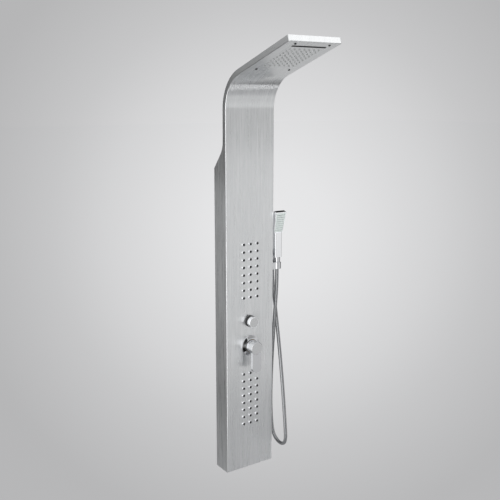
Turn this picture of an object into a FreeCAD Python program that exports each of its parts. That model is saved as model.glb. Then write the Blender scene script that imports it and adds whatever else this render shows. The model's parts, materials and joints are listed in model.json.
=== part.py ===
import FreeCAD, Part
import math
import os
import Sketcher

# A shower panel column: a bent stainless sheet that hangs on the wall, with a rain and waterfall
# head, two fields of body jets, a lever mixer, a diverter and a hand shower on a hose.
# X runs across the panel, Y into the wall and Z up. The origin is on the wall plane, under the
# middle of the panel's lower edge. All sizes are in millimetres, angles in degrees.

Vector = FreeCAD.Vector

SIZES = {
    # bent front panel
    "panel_width": 200.0,
    "panel_depth": 75.0,
    "sheet_gauge": 1.2,
    "edge_radius": 2.5,
    "upright_height": 1316.0,
    "bend_radius": 118.0,
    "head_rise": 18.0,
    "head_length": 281.0,
    "head_thickness": 20.0,
    "neck_thickness": 18.0,
    "slant_start": 1116.0,
    "slant_lean": 39.4,
    "slant_radius": 70.0,
    "bottom_lip": 25.0,
    # back cover and its bridge
    "cover_inset": 0.5,
    "cover_gap": 0.3,
    "bridge_rise": 24.0,
    "bridge_gauge": 2.0,
    "bridge_length": 20.0,
    "cover_screw_spread": 60.0,
    "cover_screw_along": 236.0,
    "cover_screw_radius": 2.0,
    "cover_screw_head": 3.6,
    "cover_screw_length": 8.0,
    "cover_boss_radius": 4.0,
    "boss_relief": 0.05,
    # wall brackets and hanging rails
    "upper_bracket_height": 1040.0,
    "lower_bracket_height": 80.0,
    "bracket_width": 150.0,
    "bracket_gauge": 2.0,
    "bracket_plate_height": 44.0,
    "hook_offset": 8.0,
    "hook_height": 18.0,
    "rail_gauge": 2.0,
    "rail_drop": 14.0,
    "rail_gap": 0.3,
    "wall_hole_radius": 3.0,
    "wall_hole_spacing": 110.0,
    # rain and waterfall head
    "rain_columns": 7,
    "rain_rows": 9,
    "rain_column_pitch": 18.5,
    "rain_row_pitch": 16.8,
    "rain_centre": 155.0,
    "rain_nub_radius": 2.4,
    "rain_nub_height": 2.4,
    "rain_bore_radius": 0.6,
    "nub_hole_gap": 0.3,
    "mat_thickness": 1.5,
    "box_width": 152.0,
    "box_start": 42.0,
    "box_end": 270.0,
    "box_height": 11.5,
    "chamber_depth": 8.0,
    "chamber_width": 120.0,
    "chamber_start": 80.0,
    "chamber_end": 230.0,
    "channel_wall": 3.0,
    "channel_width": 6.0,
    "channel_start": 57.0,
    "spigot_boss": 8.0,
    "spigot_bore_depth": 18.0,
    "fall_chamber_width": 14.0,
    "fall_centre": 246.0,
    "fall_slot_length": 126.0,
    "fall_slot_width": 4.0,
    "fall_lip": 1.6,
    "fall_lip_height": 0.8,
    "fall_flange": 7.0,
    "fall_gap": 0.2,
    "head_screw_spread": 65.0,
    "head_screw_front": 264.0,
    "head_screw_rear": 52.0,
    "head_screw_radius": 1.8,
    "head_screw_head": 3.8,
    "head_screw_length": 12.0,
    # body jets
    "jet_columns": 3,
    "jet_rows": 8,
    "jet_column_pitch": 28.8,
    "jet_row_pitch": 27.7,
    "upper_jets_above_diverter": 186.5,
    "lower_jets_below_mixer": 202.0,
    "jet_radius": 6.2,
    "jet_proud": 3.6,
    "jet_stem_radius": 3.2,
    "jet_stem_length": 6.5,
    "jet_tip_radius": 2.4,
    "jet_tip_proud": 0.8,
    "jet_bore_radius": 0.6,
    "jet_stem_bore": 1.5,
    "jet_seat": 1.0,
    "manifold_width": 84.0,
    "manifold_height": 222.0,
    "manifold_depth": 18.0,
    "manifold_wall": 2.5,
    "manifold_feed_across": 34.0,
    "upper_feed_drop": 45.0,
    "lower_feed_rise": 39.0,
    # inner hoses and their barbs
    "hose_plane": 45.0,
    "inner_hose_radius": 6.0,
    "inner_hose_bore": 4.0,
    "barb_bore": 2.8,
    "barb_length": 14.0,
    "boss_radius": 7.0,
    "elbow_boss": 12.0,
    "elbow_bore": 3.2,
    "ferrule_wall": 1.0,
    "ferrule_length": 12.0,
    "neck_bend_start": 1085.0,
    "neck_bend_end": 1175.0,
    "neck_bend_radius": 100.0,
    "jet_hose_straight": 25.0,
    "jet_hose_shift": 40.0,
    "jet_hose_radius": 26.0,
    "hand_hose_straight": 28.0,
    "hand_hose_shift": 70.0,
    "hand_hose_radius": 50.0,
    # diverter
    "diverter_above_mixer": 91.5,
    "diverter_barrel": 19.0,
    "diverter_back": 46.0,
    "diverter_collar": 14.0,
    "diverter_collar_length": 4.0,
    "collar_gap": 0.3,
    "port_radius": 8.0,
    "port_reach": 34.0,
    "gallery_across": 18.0,
    "hand_port_across": 50.0,
    "tee_across": 70.0,
    "cartridge_radius": 11.0,
    "cartridge_depth": 21.5,
    "cartridge_neck": 6.5,
    "cartridge_neck_top": 9.0,
    "diverter_stem_radius": 3.9,
    "run_gap": 0.1,
    "diverter_rose_radius": 21.0,
    "diverter_rose_height": 11.0,
    "diverter_rose_bore": 9.0,
    "diverter_knob_radius": 20.0,
    "diverter_knob_start": 11.6,
    "diverter_knob_top": 26.0,
    "diverter_nut_radius": 18.5,
    "rose_wall": 1.5,
    "knob_wall": 2.0,
    "knob_front": 4.0,
    "knob_hub_radius": 6.6,
    "knob_hub_start": 10.0,
    "knob_cap_radius": 17.6,
    "knob_screw_radius": 2.0,
    "knob_screw_head": 4.0,
    "knob_screw_length": 12.0,
    "disc_thickness": 3.5,
    "disc_bore": 3.5,
    # mixer
    "mixer_height": 475.0,
    "mixer_barrel": 24.0,
    "mixer_back": 54.0,
    "mixer_collar": 19.5,
    "mixer_collar_length": 2.5,
    "valve_radius": 17.0,
    "valve_depth": 20.0,
    "valve_neck": 12.0,
    "valve_neck_top": 17.0,
    "sleeve_radius": 8.9,
    "pivot_out": 12.5,
    "pivot_pin_radius": 1.5,
    "stem_width": 8.0,
    "stem_start": 4.0,
    "stem_top": 37.0,
    "mixer_rose_radius": 37.5,
    "mixer_rose_rim": 5.0,
    "mixer_rose_height": 9.5,
    "mixer_rose_bore": 24.8,
    "mixer_rose_top": 26.7,
    "handle_radius": 23.5,
    "handle_start": 11.0,
    "handle_top": 45.0,
    "handle_wall": 2.0,
    "lever_width": 37.0,
    "lever_reach": 92.5,
    "lever_thickness": 10.0,
    "cap_thickness": 1.0,
    "cap_radius": 21.7,
    "handle_front": 4.0,
    "handle_hub_radius": 7.5,
    "handle_hub_start": 21.0,
    "handle_screw_radius": 2.5,
    "handle_screw_head": 4.5,
    "handle_screw_length": 13.0,
    "edge_break": 0.8,
    "pin_gap": 0.05,
    "mixer_nut_radius": 27.0,
    "mixer_port_radius": 9.0,
    "mixer_port_reach": 34.0,
    "valve_cavity": 14.0,
    "valve_shoulder": 0.5,
    "water_bore": 5.0,
    "bore_web": 1.0,
    "passage_radius": 2.5,
    "passage_spread": 8.0,
    "passage_drop": 2.0,
    "inlet_boss_radius": 12.0,
    "inlet_boss_drop": 22.0,
    "nipple_length": 30.0,
    "nipple_tenon": 8.0,
    "check_valve_length": 14.0,
    "filter_length": 3.0,
    "inlet_across": 38.0,
    "inlet_radius": 10.4,
    "inlet_bore": 7.0,
    "union_flats_radius": 11.5,
    "union_wall": 1.5,
    "union_overlap": 10.0,
    # side outlet
    "outlet_above_holder": 57.0,
    "outlet_depth": 32.0,
    "outlet_reach": 29.0,
    "outlet_radius": 10.0,
    "outlet_bore": 4.0,
    "outlet_thread_drop": 22.0,
    "outlet_rose_radius": 16.0,
    "outlet_rose_height": 3.0,
    "outlet_tail_across": 82.0,
    "outlet_shank": 8.0,
    "outlet_nut_radius": 15.0,
    "outlet_nut_thickness": 3.5,
    "hose_nut_radius": 12.0,
    "hose_nut_length": 26.0,
    "hose_nut_overlap": 6.0,
    "washer_thickness": 2.0,
    # hand-shower holder and hand shower
    "holder_reach": 27.0,
    "holder_depth": 62.0,
    "holder_bottom": 743.0,
    "holder_height": 25.0,
    "cup_radius": 14.5,
    "cup_slot": 15.0,
    "seat_gap": 0.3,
    "cone_lower_radius": 9.6,
    "cone_upper_radius": 11.6,
    "cone_below_holder": 1.0,
    "hand_thread_radius": 8.0,
    "hand_thread_length": 12.0,
    "cone_length": 44.0,
    "holder_screw_radius": 2.0,
    "holder_screw_spacing": 14.0,
    "holder_screw_length": 10.0,
    "holder_arm_width": 18.0,
    "grip_width": 30.0,
    "grip_thickness": 20.0,
    "grip_edge": 4.0,
    "grip_length": 90.0,
    "spray_head_top": 48.0,
    "spray_head_bottom": 39.0,
    "spray_head_length": 80.0,
    "spray_head_thickness": 15.0,
    "spray_head_tilt": 13.0,
    "spray_head_step": 3.0,
    "spray_head_edge": 3.0,
    "neck_width": 26.0,
    "neck_depth": 8.5,
    "neck_overlap": 15.0,
    "face_margin": 3.0,
    "face_thickness": 2.5,
    "face_recess": 2.0,
    "spray_rows": 8,
    "spray_row_pitch": 8.2,
    "spray_nozzles_per_row": 7,
    "spray_nozzle_pitch": 4.6,
    "spray_nozzle_radius": 0.9,
    "spray_nozzle_proud": 1.0,
    # shower hose
    "hose_radius": 6.5,
}

doc = FreeCAD.newDocument("shower_panel_column")
sheet = doc.addObject("Spreadsheet::Sheet", "sizes")
for row, (word, value) in enumerate(SIZES.items(), start=1):
    sheet.set(f"A{row}", word)
    sheet.set(f"B{row}", str(value))
    sheet.setAlias(f"B{row}", word)
doc.recompute()


class Size:
    """A length or angle that knows both its number and its formula over the sheet's cells."""

    def __init__(self, number, formula=None):
        self.number = float(number)
        self.formula = formula or repr(float(number))

    def __add__(self, other):
        other = size(other)
        return Size(self.number + other.number, f"({self.formula} + {other.formula})")

    def __sub__(self, other):
        other = size(other)
        return Size(self.number - other.number, f"({self.formula} - {other.formula})")

    def __mul__(self, other):
        other = size(other)
        return Size(self.number * other.number, f"({self.formula} * {other.formula})")

    def __truediv__(self, other):
        other = size(other)
        return Size(self.number / other.number, f"({self.formula} / {other.formula})")

    def __radd__(self, other):
        return size(other) + self

    def __rsub__(self, other):
        return size(other) - self

    def __rmul__(self, other):
        return size(other) * self

    def __neg__(self):
        return size(0) - self


def size(value):
    return value if isinstance(value, Size) else Size(value)


def sine(angle):
    return Size(math.sin(math.radians(angle.number)), f"sin({angle.formula})")


def cosine(angle):
    return Size(math.cos(math.radians(angle.number)), f"cos({angle.formula})")


class Cells:
    """Each named cell of the sheet as a Size, such as cell.panel_width."""

    def __getattr__(self, word):
        return Size(float(sheet.get(word)), f"sizes.{word}")


cell = Cells()


# ---------------------------------------------------------------- helpers for bodies and sketches

def bind(thing, setting, value):
    thing.setExpression(setting, size(value).formula)


def add(kind, name):
    thing = doc.addObject(kind, name)
    thing.Label = name
    return thing


def place(thing, x=0, y=0, z=0, turn=None):
    """Puts a thing's own origin at x, y, z after an optional fixed turn."""
    thing.Placement = FreeCAD.Placement(Vector(), turn or FreeCAD.Rotation())
    for axis, value in (("x", x), ("y", y), ("z", z)):
        bind(thing, f"Placement.Base.{axis}", value)
    return thing


# A cutting tool reaches past the faces that it opens: THROUGH on both sides of a sheet, PAST at any
# other face, and FAR where it clears a whole room.
THROUGH = 3.0
PAST = 1.0
FAR = 10.0

FRONT_TURN = FreeCAD.Rotation(Vector(1, 0, 0), 90)
SIDE_TURN = FreeCAD.Rotation(Vector(1, 1, 1), 120)


def on_front(thing, x, z):
    """The thing's own Z axis points out of the panel's front face, its Y axis up."""
    return place(thing, x, -cell.panel_depth, z, FRONT_TURN)


def on_side(thing, y, z):
    """The thing's own Z axis points out of the right flange, its Y axis up."""
    return place(thing, cell.panel_width / 2, y, z, SIDE_TURN)


def bend_end():
    """The y and z where the bend meets the straight underside of the head."""
    rise = cell.head_rise
    y = -cell.panel_depth - cell.bend_radius + cell.bend_radius * sine(rise)
    z = cell.upright_height + cell.bend_radius * cosine(rise)
    return y, z


def on_head(thing, x, along):
    """The thing's own Z axis points out of the head's underside, its Y axis towards the tip."""
    rise = cell.head_rise
    y, z = bend_end()
    place(thing, x, y - along * cosine(rise), z + along * sine(rise),
          FreeCAD.Rotation(Vector(1, 0, 0), 90))
    bind(thing, "Placement.Rotation.Angle", 180 - rise)
    return thing


def new_sketch(body, role, name, lift=0):
    sketch = body.newObject("Sketcher::SketchObject", name)
    plane = [feature for feature in body.Origin.OriginFeatures if feature.Role == role][0]
    sketch.AttachmentSupport = (plane, [""])
    sketch.MapMode = "FlatFace"
    bind(sketch, "AttachmentOffset.Base.z", lift)
    return sketch


def pin_point(sketch, geometry, position, u, v):
    """Holds a sketch point at two coordinates, each a formula over the sheet."""
    for kind, value in (("DistanceX", size(u)), ("DistanceY", size(v))):
        constraint = Sketcher.Constraint(kind, -1, 1, geometry, position, value.number)
        index = sketch.addConstraint(constraint)
        sketch.setExpression(f"Constraints[{index}]", value.formula)


def draw_outline(sketch, corners):
    """A closed outline. A corner is (u, v), or (u, v, radius) where the edge that leaves it is an
    arc, counterclockwise for a positive radius and clockwise for a negative one."""
    count = len(corners)
    spots = [Vector(size(corner[0]).number, size(corner[1]).number, 0) for corner in corners]
    first_end = []
    for index, corner in enumerate(corners):
        start, stop = spots[index], spots[(index + 1) % count]
        if len(corner) == 2:
            sketch.addGeometry(Part.LineSegment(start, stop))
            first_end.append((1, 2))
            continue
        radius = size(corner[2])
        if radius.number < 0:
            start, stop = stop, start
        chord = stop - start
        reach = abs(radius.number)
        height = math.sqrt(reach ** 2 - (chord.Length / 2) ** 2)
        side = Vector(-chord.y, chord.x, 0).normalize()
        centre = (start + stop) * 0.5 + side * height
        circle = Part.Circle(centre, Vector(0, 0, 1), reach)
        angles = [math.atan2(spot.y - centre.y, spot.x - centre.x) for spot in (start, stop)]
        arc = sketch.addGeometry(Part.ArcOfCircle(circle, angles[0], angles[1]))
        first_end.append((1, 2) if radius.number > 0 else (2, 1))
        constraint = sketch.addConstraint(Sketcher.Constraint("Radius", arc, reach))
        absolute = radius if radius.number > 0 else -radius
        sketch.setExpression(f"Constraints[{constraint}]", absolute.formula)
    for index in range(count):
        following = (index + 1) % count
        sketch.addConstraint(Sketcher.Constraint(
            "Coincident", index, first_end[index][1], following, first_end[following][0]))
    for index, corner in enumerate(corners):
        pin_point(sketch, index, first_end[index][0], corner[0], corner[1])


def draw_circles(sketch, circles):
    """Circles given as (u, v, radius)."""
    for u, v, radius in circles:
        radius = size(radius)
        spot = Vector(size(u).number, size(v).number, 0)
        index = sketch.addGeometry(Part.Circle(spot, Vector(0, 0, 1), radius.number))
        pin_point(sketch, index, 3, u, v)
        constraint = sketch.addConstraint(Sketcher.Constraint("Radius", index, radius.number))
        sketch.setExpression(f"Constraints[{constraint}]", radius.formula)


def pad(body, sketch, length, middle=False):
    feature = body.newObject("PartDesign::Pad", sketch.Name + "_pad")
    feature.Profile = sketch
    if middle:
        feature.SideType = "Symmetric"
    bind(feature, "Length", length)
    return feature


def side_profile(name, corners, width):
    """A body with a side outline in Y and Z, as wide as said, even about the middle."""
    body = add("PartDesign::Body", name)
    sketch = new_sketch(body, "YZ_Plane", name + "_outline")
    draw_outline(sketch, corners)
    pad(body, sketch, width, middle=True)
    return body


def plate(name, corners, low, high):
    """A body with an outline in its own X and Y, from low to high along its own Z."""
    body = add("PartDesign::Body", name)
    sketch = new_sketch(body, "XY_Plane", name + "_outline", low)
    draw_outline(sketch, corners)
    pad(body, sketch, size(high) - low)
    return body


def rectangle(x_low, x_high, y_low, y_high):
    return [(x_low, y_low), (x_high, y_low), (x_high, y_high), (x_low, y_high)]


def block(name, x_low, x_high, y_low, y_high, z_low, z_high):
    return plate(name, rectangle(x_low, x_high, y_low, y_high), z_low, z_high)


def pins(name, circles, low, high):
    """Round pins or holes, all from low to high along the body's own Z."""
    body = add("PartDesign::Body", name)
    body.AllowCompound = True
    sketch = new_sketch(body, "XY_Plane", name + "_circles", low)
    draw_circles(sketch, circles)
    pad(body, sketch, size(high) - low)
    return body


def turned(name, corners):
    """A body turned about its own Z axis. A corner is (radius, height)."""
    body = add("PartDesign::Body", name)
    sketch = new_sketch(body, "XZ_Plane", name + "_section")
    draw_outline(sketch, corners)
    feature = body.newObject("PartDesign::Revolution", name + "_turn")
    feature.Profile = sketch
    feature.ReferenceAxis = (sketch, ["V_Axis"])
    feature.Angle = 360
    return body


def ring(name, inner, outer, low, high):
    return turned(name, [(inner, low), (outer, low), (outer, high), (inner, high)])


def cut(name, base, *tools):
    """The base less its tools."""
    tool = tools[0] if len(tools) == 1 else fuse(name + "_tools", *tools)
    result = add("Part::Cut", name)
    result.Base = base
    result.Tool = tool
    return result


def fuse(name, *pieces):
    result = add("Part::MultiFuse", name)
    result.Shapes = list(pieces)
    result.Refine = True
    return result


def rod(name, radius, length, x, y, z, direction):
    """A plain cylinder from x, y, z along X, Y or Z, or against it when the direction is -1."""
    thing = add("Part::Cylinder", name)
    bind(thing, "Radius", radius)
    bind(thing, "Height", length)
    axis, sign = direction
    turns = {"X": Vector(sign, 0, 0), "Y": Vector(0, sign, 0), "Z": Vector(0, 0, sign)}
    return place(thing, x, y, z, FreeCAD.Rotation(Vector(0, 0, 1), turns[axis]))


def round_edges(body, base, radius, chosen, name):
    """Rounds those edges of a feature whose end points all pass the test."""
    doc.recompute()
    edges = []
    for index, edge in enumerate(base.Shape.Edges, start=1):
        if chosen([vertex.Point for vertex in edge.Vertexes]):
            edges.append(f"Edge{index}")
    feature = body.newObject("PartDesign::Fillet", name)
    feature.Base = (base, edges)
    bind(feature, "Radius", radius)
    body.Tip = feature
    return feature


def copies(name, source, offsets):
    """One node of separate solids: a source's shape repeated at each offset."""
    doc.recompute()
    node = add("Part::Feature", name)
    solids = []
    for x, y, z in offsets:
        shape = source.Shape.copy()
        shape.translate(Vector(size(x).number, size(y).number, size(z).number))
        solids.append(shape.Solids[0])
    node.Shape = Part.makeCompound(solids)
    return node


def group(name, *pieces):
    """One node of separate solids that are already where they belong."""
    doc.recompute()
    node = add("Part::Compound", name)
    node.Links = list(pieces)
    return node


def number(value):
    return size(value).number


def rounded_path(points, radii):
    """Straight runs joined by tangent arcs, one radius for each inner point."""
    edges = []
    start = points[0]
    for index in range(1, len(points) - 1):
        corner = points[index]
        back = (points[index - 1] - corner).normalize()
        forth = (points[index + 1] - corner).normalize()
        half_turn = (math.pi - back.getAngle(forth)) / 2
        reach = radii[index - 1] * math.tan(half_turn)
        enter, leave = corner + back * reach, corner + forth * reach
        middle_way = (back + forth).normalize()
        depth = radii[index - 1] / math.cos(half_turn) - radii[index - 1]
        edges.append(Part.LineSegment(start, enter).toShape())
        edges.append(Part.Arc(enter, corner + middle_way * depth, leave).toShape())
        start = leave
    edges.append(Part.LineSegment(start, points[-1]).toShape())
    return Part.Wire(edges)


def tube_along(wire, radius):
    first = wire.Edges[0]
    start = first.valueAt(first.FirstParameter)
    direction = first.tangentAt(first.FirstParameter)
    circle = Part.Wire(Part.Circle(start, direction, radius).toShape())
    return wire.makePipeShell([circle], True, False)


def inner_hose(name, points, radii):
    """A reinforced hose with its bore, along its real route inside the panel."""
    spots = [Vector(number(x), number(y), number(z)) for x, y, z in points]
    wire = rounded_path(spots, [number(radius) for radius in radii])
    outside = tube_along(wire, number(cell.inner_hose_radius))
    bore = tube_along(wire, number(cell.inner_hose_bore))
    node = add("Part::Feature", name)
    node.Shape = outside.cut(bore)
    print(name, "length", round(wire.Length, 1))
    return node


# ---------------------------------------------------------------- bent panel, cover, rails, brackets

GAUGE = cell.sheet_gauge
RISE = cell.head_rise
FRONT = -cell.panel_depth
HALF_WIDTH = cell.panel_width / 2
NECK_BACK = FRONT + cell.neck_thickness
DIVERTER_HEIGHT = cell.mixer_height + cell.diverter_above_mixer
UPPER_JETS = DIVERTER_HEIGHT + cell.upper_jets_above_diverter
LOWER_JETS = cell.mixer_height - cell.lower_jets_below_mixer
UPPER_FEED = UPPER_JETS - cell.upper_feed_drop
LOWER_FEED = LOWER_JETS + cell.lower_feed_rise
OUTLET_HEIGHT = cell.holder_bottom + cell.outlet_above_holder


def head_point(along, above):
    """The y and z of a point of the head: so far from the bend, so far above the underside."""
    y, z = bend_end()
    return y - along * cosine(RISE) + above * sine(RISE), z + along * sine(RISE) + above * cosine(RISE)


def back_outline(inset):
    """The back edge of neck and slant, from the head's tip down to the wall, set in by an inset."""
    neck = NECK_BACK - inset
    neck_radius = cell.bend_radius + cell.neck_thickness - inset
    lean = cell.slant_lean
    half_lean = lean / 2
    reach = (cell.slant_radius + inset) * sine(half_lean) / cosine(half_lean)
    foot = cell.slant_start - inset / sine(lean)
    corner_z = foot - neck * cosine(lean) / sine(lean)
    return [
        (*head_point(size(0), cell.neck_thickness - inset), -neck_radius),
        (neck, cell.upright_height),
        (neck, corner_z + reach, cell.slant_radius + inset),
        (neck + reach * sine(lean), corner_z - reach * cosine(lean)),
    ], foot


def round_folds(body, inset, crown):
    """Rounds the folded edges of the panel or of its hollow: both long edges and the rim."""
    foot = (number(FRONT + inset), number(inset))
    upright = (number(FRONT + inset), number(cell.upright_height))
    bend = tuple(number(value) for value in head_point(size(0), inset))
    tip = tuple(number(value) for value in head_point(cell.head_length - inset, inset))
    crown = tuple(number(value) for value in crown)
    half = number(HALF_WIDTH - inset)

    def near(point, spots):
        return any(math.hypot(point.y - y, point.z - z) < 0.01 for y, z in spots)

    def is_fold(points):
        across = abs(points[0].x - points[-1].x) > 1
        spots = (foot, tip) if across else (foot, upright, bend, tip, crown)
        return all(abs(abs(point.x) - half) < 0.01 and near(point, spots) for point in points)

    round_edges(body, body.Tip, cell.edge_radius - inset, is_fold, body.Name + "_rounds")


def make_front_panel():
    shell_back, foot = back_outline(size(0))
    body = side_profile("panel_blank", [
        (FRONT, 0),
        (FRONT, cell.upright_height, cell.bend_radius),
        head_point(size(0), size(0)),
        head_point(cell.head_length, size(0)),
        head_point(cell.head_length, cell.head_thickness),
        *shell_back,
        (0, foot),
        (0, 0),
    ], cell.panel_width)
    round_folds(body, size(0), head_point(cell.head_length, cell.head_thickness))

    over_tip = head_point(cell.head_length - GAUGE, cell.head_thickness + FAR)
    core = side_profile("panel_core", [
        (FRONT + GAUGE, GAUGE),
        (FRONT + GAUGE, cell.upright_height, cell.bend_radius + GAUGE),
        head_point(size(0), GAUGE),
        head_point(cell.head_length - GAUGE, GAUGE),
        over_tip,
        (FAR, over_tip[1] + 2 * FAR),
        (FAR, -FAR),
        (FRONT + cell.bottom_lip, -FAR),
        (FRONT + cell.bottom_lip, GAUGE),
    ], cell.panel_width - 2 * GAUGE)
    round_folds(core, GAUGE, over_tip)

    front_holes = pins("front_holes", [
        (0, cell.mixer_height, cell.mixer_collar + cell.collar_gap),
        (0, DIVERTER_HEIGHT, cell.diverter_collar + cell.collar_gap),
        *[(x, z, cell.jet_stem_radius + cell.nub_hole_gap) for x, z in jet_spots()],
    ], -THROUGH, THROUGH)
    place(front_holes, 0, FRONT, 0, FRONT_TURN)

    head_holes = pins("head_holes", [
        *[(x, along, cell.rain_nub_radius + cell.nub_hole_gap) for x, along in rain_spots()],
        *[(x, along, cell.head_screw_radius + cell.nub_hole_gap) for x, along in head_screw_spots()],
    ], -THROUGH, THROUGH)
    on_head(head_holes, 0, size(0))

    half_slot = cell.fall_slot_length / 2 + cell.fall_lip + cell.fall_gap
    half_gap = cell.fall_slot_width / 2 + cell.fall_lip + cell.fall_gap
    slot = block("fall_window", -half_slot, half_slot, -half_gap, half_gap, -THROUGH, THROUGH)
    on_head(slot, 0, cell.fall_centre)

    side_holes = pins("side_holes", [
        (-cell.outlet_depth, OUTLET_HEIGHT, cell.outlet_radius + cell.fall_gap),
        *[(-cell.holder_depth, z, cell.holder_screw_radius + cell.nub_hole_gap)
          for z in holder_screw_heights()],
    ], -THROUGH, THROUGH)
    on_side(side_holes, 0, 0)
    return cut("front_panel", body, core, front_holes, head_holes, slot, side_holes)


def spread(count, pitch):
    """Places of a row of so many, even about zero."""
    return [pitch * (index - (count - 1) / 2) for index in range(count)]


def field_spots():
    """One field of jets, even about its own middle."""
    columns = spread(int(cell.jet_columns.number), cell.jet_column_pitch)
    rows = spread(int(cell.jet_rows.number), cell.jet_row_pitch)
    return [(x, row) for row in rows for x in columns]


def jet_spots():
    centres = (UPPER_JETS, LOWER_JETS)
    return [(x, centre + row) for centre in centres for x, row in field_spots()]


def rain_spots():
    columns = spread(int(cell.rain_columns.number), cell.rain_column_pitch)
    rows = spread(int(cell.rain_rows.number), cell.rain_row_pitch)
    return [(x, cell.rain_centre + row) for row in rows for x in columns]


def head_screw_spots():
    return [(x, along) for x in (-cell.head_screw_spread, cell.head_screw_spread)
            for along in (cell.head_screw_rear, cell.head_screw_front)]


def holder_screw_heights():
    middle = cell.holder_bottom + cell.holder_height / 2
    return [middle - cell.holder_screw_spacing / 2, middle + cell.holder_screw_spacing / 2]


def make_back_cover():
    """A strip that closes the back of slant, neck and head between the flanges."""
    outer, outer_foot = back_outline(cell.cover_inset)
    inner, inner_foot = back_outline(cell.cover_inset + GAUGE)
    tip = cell.head_length - GAUGE - cell.cover_gap
    top = cell.head_thickness - cell.cover_inset
    near = cell.cover_inset + cell.cover_gap
    lean = cell.slant_lean
    low_outer = (-near, outer_foot + near * cosine(lean) / sine(lean))
    low_inner = (-near, inner_foot + near * cosine(lean) / sine(lean))
    inner_back = [
        low_inner,
        (inner[3][0], inner[3][1], -inner[2][2]),
        (inner[2][0], inner[2][1]),
        (inner[1][0], inner[1][1], -inner[0][2]),
        (inner[0][0], inner[0][1]),
    ]
    body = side_profile("cover_strip", [
        head_point(tip, top),
        *outer,
        low_outer,
        *inner_back,
        head_point(tip, top - GAUGE),
    ], cell.panel_width - 2 * GAUGE - 2 * cell.cover_gap)
    return cut("back_cover", body, *cover_screw_holes())


def on_slant(thing, x, along):
    """The thing's own Z axis points out of the slant's back, its Y axis down the slant."""
    lean = cell.slant_lean
    _, foot = back_outline(cell.cover_inset)
    place(thing, x, -along * sine(lean), foot + along * cosine(lean),
          FreeCAD.Rotation(Vector(-1, 0, 0), 90))
    bind(thing, "Placement.Rotation.Angle", 90 - lean)
    return thing


def on_head_top(thing, x, along, above):
    """The thing's own Z axis points up out of the head's top, its Y axis back from the tip."""
    place(thing, x, *head_point(along, above), FreeCAD.Rotation(Vector(-1, 0, 0), number(RISE)))
    bind(thing, "Placement.Rotation.Angle", RISE)
    return thing


def cover_top_above():
    """How far the cover's outer face is above the head's underside, at its front screws."""
    taper = cell.head_thickness - cell.neck_thickness
    tip = cell.head_length - GAUGE - cell.cover_gap
    return cell.neck_thickness - cell.cover_inset + taper * cell.cover_screw_along / tip


def cover_screw_holes():
    radius = cell.cover_screw_radius + cell.nub_hole_gap
    spots = [(side * cell.cover_screw_spread, 0, radius) for side in (-1, 1)]
    slant_holes = on_slant(pins("cover_slant_holes", spots, -THROUGH, THROUGH), 0,
                           cell.bridge_rise)
    top_holes = pins("cover_top_holes", spots, -THROUGH, THROUGH)
    on_head_top(top_holes, 0, cell.cover_screw_along, cover_top_above())
    return slant_holes, top_holes


def screw(name, radius, head_radius, head_height, length):
    """A screw whose head stands on its own XY plane and whose shank runs down from it."""
    edge = head_height / 3
    return turned(name, [
        (0, -length), (radius, -length), (radius, 0), (head_radius, 0),
        (head_radius, head_height - edge), (head_radius - edge, head_height), (0, head_height),
    ])


def make_cover_bridge():
    half = HALF_WIDTH - GAUGE
    across = cell.bridge_length / 2
    strip = block("bridge_strip", -half, half, -across, across, -GAUGE - cell.bridge_gauge, -GAUGE)
    on_slant(strip, 0, cell.bridge_rise)
    spots = [(side * cell.cover_screw_spread, 0, cell.cover_screw_radius) for side in (-1, 1)]
    holes = on_slant(pins("bridge_holes", spots, -2 * THROUGH, THROUGH), 0, cell.bridge_rise)
    return cut("cover_bridge", strip, holes)


def make_cover_screws():
    pieces = []
    for side, word in ((-1, "left"), (1, "right")):
        across = side * cell.cover_screw_spread
        low = screw(f"slant_screw_{word}", cell.cover_screw_radius, cell.cover_screw_head,
                    cell.cover_screw_head / 2, cell.cover_screw_length)
        pieces.append(on_slant(low, across, cell.bridge_rise))
        high = screw(f"top_screw_{word}", cell.cover_screw_radius, cell.cover_screw_head,
                     cell.cover_screw_head / 2, cell.cover_screw_length)
        pieces.append(on_head_top(high, across, cell.cover_screw_along, cover_top_above()))
    return group("cover_screws", *pieces)


def make_wall_bracket(name, height):
    half = cell.bracket_width / 2
    gauge = cell.bracket_gauge
    lip = cell.hook_offset + gauge
    middle = cell.bracket_plate_height / 2
    wall_plate = block(name + "_plate", -half, half, -gauge, 0, -middle, middle)
    shelf = block(name + "_shelf", -half, half, -lip, 0, 0, gauge)
    hook = block(name + "_hook", -half, half, -lip, -cell.hook_offset, 0, cell.hook_height)
    holes = pins(name + "_holes", [
        (side * cell.wall_hole_spacing / 2, -cell.bracket_plate_height / 4, cell.wall_hole_radius)
        for side in (-1, 1)], -THROUGH, FAR)
    for piece in (wall_plate, shelf, hook):
        place(piece, 0, 0, height)
    place(holes, 0, 0, height, FRONT_TURN)
    return cut(name, fuse(name + "_folded", wall_plate, shelf, hook), holes)


def make_hanging_rail(name, height):
    """An upturned channel, welded between the flanges, that drops over a bracket's hook."""
    half = HALF_WIDTH - GAUGE
    gauge, gap = cell.rail_gauge, cell.rail_gap
    front = -(cell.hook_offset + cell.bracket_gauge + gap)
    back = -(cell.hook_offset - gap)
    top = height + cell.hook_height
    outer = [(front - gauge, top - cell.rail_drop), (front, top - cell.rail_drop), (front, top),
             (back, top), (back, top - cell.rail_drop), (back + gauge, top - cell.rail_drop),
             (back + gauge, top + gauge), (front - gauge, top + gauge)]
    return side_profile(name, outer, 2 * half)


# ---------------------------------------------------------------- rain and waterfall head

MAT_TOP = -GAUGE - cell.mat_thickness
BOX_TOP = MAT_TOP - cell.box_height
SPIGOT_ABOVE = -(MAT_TOP - cell.box_height / 2)


def head_screw_circles(radius):
    return [(x, along, radius) for x, along in head_screw_spots()]


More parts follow.
